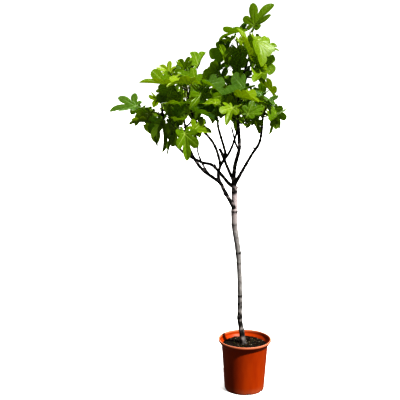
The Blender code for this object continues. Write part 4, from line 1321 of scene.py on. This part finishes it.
def trunk_marks(path):
    """The trunk's marks, as (place, how dark its bark is, how far a ring scar shows)."""
    marks = []
    for place in path:
        near, scar = min((abs(place.z - height), scar)
                         for height, scar in zip(KNOT_HEIGHTS, KNOT_SCARS))
        tone = max(0.0, (place.z - DARK_FROM) / DARK_OVER)
        for height, half_length, dark in DARK_PATCHES:
            tone = max(tone, dark * math.exp(-((place.z - height) / half_length) ** 2))
        scar *= SCAR_STRENGTH * math.exp(-(near / SCAR_HALF_LENGTH) ** 2)
        marks.append((place, min(1.0, tone), min(1.0, scar)))
    return marks


def bough_run(name):
    """A bough's fine path, radii and marks: collared at its foot, and run on into its first shoot."""
    bough = BOUGHS[name]
    whole, tip = bough_path(name)
    dice = random.Random(name)
    end = min(tip + RUN_ON, len(whole) - 1)
    rings = []
    travelled = FIRST_RING
    while travelled < end * CURVE_STEP:
        rings.append(travelled)
        travelled += dice.uniform(*RING_SPACING)
    path = whole[:end + 1]
    radii, marks = [], []
    for index, place in enumerate(path):
        along = index * CURVE_STEP
        radius = bough.start_radius + (bough.tip_radius - bough.start_radius) * min(1.0, index / tip)
        radius += COLLAR * math.exp(-along / COLLAR_LENGTH) if name != "leader" else 0.0
        radius += sum(RING_SWELL * math.exp(-((along - ring) / RING_HALF_LENGTH) ** 2)
                      for ring in rings)
        radii.append(radius + BOUGH_GROWTH * (1 - 2 * max(0, index - tip) / RUN_ON))
        near = min((abs(along - ring) for ring in rings), default=1.0)
        marks.append((place, 1.0, RING_SCAR * math.exp(-(near / RING_SCAR_HALF_LENGTH) ** 2)))
    return path, radii, marks


class FIGTREE_OT_limbs(bpy.types.Operator):
    """Skin the trunk and boughs in one bark mesh, with collars, knots and ring scars"""

    bl_idname = "figtree.limbs"
    bl_label = "Trunk and boughs"

    def execute(self, context):
        looks = context.scene.figtree_bark
        runs = [trunk_run()]
        marks = trunk_marks(runs[0][0])
        for name in BOUGHS:
            path, radii, more = bough_run(name)
            runs.append((path, radii))
            marks += more
        for foot, top, radius in KNOBS:
            runs.append(([Vector(foot).lerp(Vector(top), share) for share, _ in KNOB_GIRTH],
                         [radius * girth for _, girth in KNOB_GIRTH]))
        skin = sweep("bark_skin", runs, SKIN_SIDES)
        apply_modifier(skin, "REMESH", mode="VOXEL", voxel_size=looks.voxel)
        apply_modifier(skin, "SMOOTH", factor=0.6, iterations=4)
        search = search_tree([place for place, _, _ in marks])
        tones, scars, moves = [], [], []
        for corner in skin.data.vertices:
            _, tone, scar = marks[search.find(corner.co)[1]]
            stretched = Vector((corner.co.x, corner.co.y, corner.co.z * RIPPLE_STRETCH))
            ripple = noise.noise(stretched / RIPPLE_SIZE)
            lump = noise.noise(corner.co / LUMP_SIZE)
            raised = RIPPLE_RELIEF * ripple + lump + SCAR_RELIEF * scar
            moves.append(corner.normal * looks.relief * raised)
            tones.append(min(1.0, max(0.0, tone * (1 + lump) + TONE_SPREAD * lump)))
            scars.append(scar * min(1.0, max(FAINTEST_SCAR, 1 + lump)))
        for corner, move in zip(skin.data.vertices, moves):
            corner.co += move
        point_values(skin, "tone", tones)
        point_values(skin, "scar", scars)
        smooth(skin, 180)
        finish_piece(skin, [bark_material(looks)], ["trunk", *BOUGHS])
        return {"FINISHED"}


# Shoots, stalks and leaves


def shoot_run(shoot):
    """A shoot's fine path and radii: slimmer than its solid, ringed, and swollen under its bud."""
    headings = headings_of(shoot.path)
    path = [shoot.path[0] - headings[0] * SHOOT_ROOT, *shoot.path]
    length = (len(shoot.path) - 1) * CURVE_STEP
    stout = min(shoot.radius, STOUT_SHOOT_RADIUS)
    radii = []
    for index in range(len(path)):
        to_tip = length - (index - 1) * CURVE_STEP
        share = max(0.0, min(1.0, to_tip / length))
        radius = SLIM_SHOOT_RADIUS + (stout - SLIM_SHOOT_RADIUS) * share ** 0.8
        radius += NODE_SWELL * max(0.0, math.cos(math.tau * to_tip / INTERNODE)) ** 6
        radius *= 1.0 + BUD_SWELL * math.exp(-((to_tip - BUD_AT) / BUD_HALF_LENGTH) ** 2)
        point = min(1.0, to_tip / BUD_AT) ** 0.8 if to_tip > 0 else 0.0
        radii.append(radius * (BUD_TIP + (1 - BUD_TIP) * point))
    return path, radii


class FIGTREE_OT_shoots(bpy.types.Operator):
    """Grow the young shoots with their buds"""

    bl_idname = "figtree.shoots"
    bl_label = "Shoots"

    def execute(self, context):
        shoots, _ = grow_crown()
        runs = [shoot_run(shoot) for shoot in shoots]
        item = sweep("young_shoots", runs, FINE_SHOOT_SIDES)
        search = search_tree([place for path, _ in runs for place in path])
        youth = [max(0.0, 1 - (len(path) - 1 - index) * CURVE_STEP / GREEN_LENGTH)
                 for path, _ in runs for index in range(len(path))]
        point_values(item, "youth", [youth[search.find(corner.co)[1]] for corner in item.data.vertices])
        smooth(item, 60)
        finish_piece(item, [shoot_material(context.scene.figtree_bark)])
        return {"FINISHED"}


def stalk_run(leaf):
    """A leaf stalk's fine path and radii, a little thicker at both its ends."""
    path = curve_through((*leaf.bends, leaf.joint))
    shares = [index / (len(path) - 1) for index in range(len(path))]
    radii = [SLIM_STALK_RADIUS + STALK_FOOT * (1 - share) ** 6 + STALK_HEAD * share ** 8
             for share in shares]
    return path, radii


class FIGTREE_OT_stalks(bpy.types.Operator):
    """Grow a stalk to each leaf"""

    bl_idname = "figtree.stalks"
    bl_label = "Leaf stalks"

    def execute(self, context):
        _, leaves = grow_crown()
        item = sweep("leaf_stalks", [stalk_run(leaf) for leaf in leaves], FINE_STALK_SIDES)
        smooth(item, 60)
        finish_piece(item, [stalk_material(context.scene.figtree_bark)])
        return {"FINISHED"}


def fine_reach(angle, level):
    """The shown leaf's outline: round lobes with narrow hollows between them, of a varying level."""
    reach = NOTCH
    for centre, length, half_width, hollow in FINE_LOBES:
        off = abs(abs(angle) - centre) / half_width
        if off < 1:
            low = min(hollow * level, HIGHEST_HOLLOW * length)
            reach = max(reach, low + (length - low) * (1 - off ** LOBE_ROUNDNESS) ** LOBE_FULLNESS)
    return reach


def vein_place(angle, reach):
    """How far a point lies along its nearest main vein, and off it."""
    off = math.radians(min(abs(abs(angle) - lobe[0]) for lobe in FINE_LOBES))
    return reach * math.cos(off), reach * math.sin(off)


def fine_leaf(leaf, looks):
    """One thin blade as corner points, faces and vein places: creased, quilted and wavy at its edge."""
    dice = random.Random(leaf.mark + FINE_LEAF_SEED)
    phase = dice.uniform(0, math.tau)
    skew = dice.uniform(-LEAF_SKEW, LEAF_SKEW)
    twist = dice.uniform(-LEAF_TWIST, LEAF_TWIST)
    level = dice.uniform(*HOLLOW_LEVELS)
    size = leaf.length * LEAF_TRIM
    steep = math.atan(leaf.fold * FOLD_GAIN)
    across = leaf.normal.cross(leaf.midrib)
    angles = [*(-a for a in reversed(FINE_HALF_DEGREES)), 0, *FINE_HALF_DEGREES]
    points, spots = [], []
    for ring in FINE_RINGS:
        for angle in angles:
            turn = math.radians(angle)
            edge = fine_reach(angle, level) * size * (1 + skew * math.sin(turn))
            reach = edge * (1 + TOOTH_DEPTH * math.sin(TEETH * turn + phase)) * ring
            ahead = reach * math.cos(turn)
            aside = reach * math.sin(turn)
            along, off = vein_place(angle, reach)
            crease = math.sqrt(aside * aside + CREASE * CREASE) - CREASE
            lift = math.sin(steep) * crease - leaf.curl * ahead * abs(ahead) / leaf.length
            swell = math.sin(math.pi * min(1.0, off / QUILT_WIDTH))
            lift += looks.quilt * swell * min(1.0, QUILT_FADE * (1 - ring) + EDGE_QUILT)
            lift += looks.wave * ring ** 3 * math.sin(EDGE_WAVES * turn + phase)
            lift += twist * aside * ahead / leaf.length
            spread = across * aside * math.cos(steep) * SLIMNESS
            points.append(leaf.joint + leaf.midrib * ahead + spread + leaf.normal * lift)
            spots.append((along, off))
    points.append(leaf.joint.copy())
    spots.append((0.0, 0.0))
    width = len(angles)
    centre = len(points) - 1
    faces = [(centre, i, i + 1) for i in range(width - 1)]
    for ring in range(len(FINE_RINGS) - 1):
        for low in range(ring * width, ring * width + width - 1):
            faces.append((low, low + width, low + width + 1, low + 1))
    return points, faces, spots


def paleness_and_painted_light(leaf):
    """How pale a leaf is: painted light and shade from being high, outside and facing the sun, and its
    own paleness from being young and small.
    """
    out = (leaf.joint + leaf.midrib * leaf.length * 0.5) - CROWN_MIDDLE
    measures = (leaf.normal.dot(LIGHT_HEADING), out.z, out.length, leaf.age, leaf.length)
    return sum(weight * measure for weight, measure in zip(PALENESS_AND_PAINTED_LIGHT, measures))


class FIGTREE_OT_leaves(bpy.types.Operator):
    """Grow the leaves, and deal them out to their tints"""

    bl_idname = "figtree.leaves"
    bl_label = "Leaves"

    def execute(self, context):
        looks = context.scene.figtree_leaf
        _, leaves = grow_crown()
        dice = random.Random(TINT_SEED)
        # The tints are dealt by this ranking, so each leaf's tint paints the light and shade it would
        # get as well as its own colour
        ranked = sorted(leaves, key=lambda leaf: paleness_and_painted_light(leaf) + dice.gauss(0, PALENESS_SPREAD))
        under = leaf_material(*UNDERSIDE, UNDERSIDE_VEINS)
        start = 0
        for name, *finish, share in LEAF_TINTS:
            end = len(ranked) if name == LEAF_TINTS[-1][0] else start + round(share * len(ranked))
            points, faces, spots, shades = [], [], [], []
            for leaf in ranked[start:end]:
                base = len(points)
                more, sides, places = fine_leaf(leaf, looks)
                points += more
                spots += places
                faces += [tuple(base + i for i in side) for side in sides]
                shades += [dice.uniform(*SHADE_RANGE)] * len(more)
            start = end
            item = add_mesh(name.replace(" ", "_"), points, faces)
            layer = item.data.uv_layers.new(name="veins")
            layer.data.foreach_set("uv", [value for loop in item.data.loops
                                          for value in spots[loop.vertex_index]])
            point_values(item, "shade", shades)
            tint = leaf_material(name, *finish, TOP_VEINS)
            finish_piece(item, [tint, under], list(MASSES))
            apply_modifier(item, "SOLIDIFY", thickness=looks.thickness, offset=0.0, material_offset=1,
                           use_even_offset=True)
            smooth(item, 70)
        return {"FINISHED"}


# Stage


def add_light(name, rise, turn, width, strength):
    """Add a distant light from a rise and a compass turn, as wide as its softness needs, in degrees."""
    bpy.ops.object.light_add(type="SUN", location=(0.0, 0.0, LIGHT_HEIGHT),
                             rotation=(0.0, math.radians(90 - rise), math.radians(turn)))
    light = bpy.context.object
    light.name = name
    light.data.energy = strength
    light.data.angle = math.radians(width)
    return light


class FIGTREE_OT_stage(bpy.types.Operator):
    """Set the pale floor, the studio lights and the camera"""

    bl_idname = "figtree.stage"
    bl_label = "Stage"

    def execute(self, context):
        looks = context.scene.figtree_stage
        bpy.ops.mesh.primitive_circle_add(vertices=128, radius=STAGE_RADIUS, fill_type="NGON")
        floor = context.object
        floor.name = "studio_floor"
        # The floor is pale to the eye, and sends little light back up into the shaded sides
        floor.visible_glossy = False
        floor.data.materials.append(floor_material(looks))
        add_light("key_light", KEY_RISE_DEGREES, KEY_TURN_DEGREES, KEY_WIDTH_DEGREES, looks.key)
        add_light("back_light", BACK_RISE_DEGREES, BACK_TURN_DEGREES, BACK_WIDTH_DEGREES, looks.back)
        wash = add_light("floor_wash", 90, 0, WASH_WIDTH_DEGREES, looks.wash)
        washed = bpy.data.collections.new("washed")
        washed.objects.link(floor)
        wash.light_linking.receiver_collection = washed
        world = bpy.data.worlds.new("white studio")
        world.use_nodes = True
        tree = world.node_tree
        seen = add_node(tree, "LightPath", out="Is Camera Ray")
        strength = add_node(tree, "Mix", {0: seen, 2: looks.sky, 3: 1.0})
        set_inputs(tree, tree.nodes["Background"], {"Color": (1.0, 1.0, 1.0, 1.0), "Strength": strength})
        context.scene.world = world
        bpy.ops.object.camera_add(location=CAMERA_PLACE,
                                  rotation=(math.radians(90 - CAMERA_DIP_DEGREES), 0.0, 0.0))
        camera = context.object
        camera.data.lens = CAMERA_LENS
        camera.data.sensor_width = CAMERA_SENSOR
        context.scene.camera = camera
        context.scene.view_settings.view_transform = "Standard"
        context.scene.view_settings.look = looks.contrast
        return {"FINISHED"}


# Panel and registering


GROUPS = {
    "figtree_leaf": LeafLooks,
    "figtree_bark": BarkLooks,
    "figtree_pot": PotLooks,
    "figtree_mix": MixLooks,
    "figtree_stage": StageLooks,
}
OPERATORS = (
    FIGTREE_OT_pot,
    FIGTREE_OT_potting_mix,
    FIGTREE_OT_crumbs,
    FIGTREE_OT_limbs,
    FIGTREE_OT_shoots,
    FIGTREE_OT_stalks,
    FIGTREE_OT_leaves,
    FIGTREE_OT_stage,
)


class FIGTREE_PT_panel(bpy.types.Panel):
    """Lists the pieces of the fig tree"""

    bl_idname = "FIGTREE_PT_panel"
    bl_label = "Fig Tree"
    bl_space_type = "VIEW_3D"
    bl_region_type = "UI"
    bl_category = "Fig Tree"

    def draw(self, context):
        for operator in OPERATORS:
            self.layout.operator(operator.bl_idname)
        for name, group in GROUPS.items():
            box = self.layout.box()
            box.label(text=group.__doc__)
            for field in group.__annotations__:
                box.prop(getattr(context.scene, name), field)


CLASSES = (*GROUPS.values(), *OPERATORS, FIGTREE_PT_panel)


def register():
    """Register the groups, operators and panel."""
    for item in CLASSES:
        bpy.utils.register_class(item)
    for name, group in GROUPS.items():
        setattr(bpy.types.Scene, name, bpy.props.PointerProperty(type=group))


def unregister():
    """Remove the panel, operators and groups."""
    for name in GROUPS:
        delattr(bpy.types.Scene, name)
    for item in reversed(CLASSES):
        bpy.utils.unregister_class(item)


def main():
    """Make every piece in turn."""
    register()
    for operator in OPERATORS:
        group, name = operator.bl_idname.split(".")
        getattr(getattr(bpy.ops, group), name)()
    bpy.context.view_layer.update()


if __name__ == "__main__":
    main()
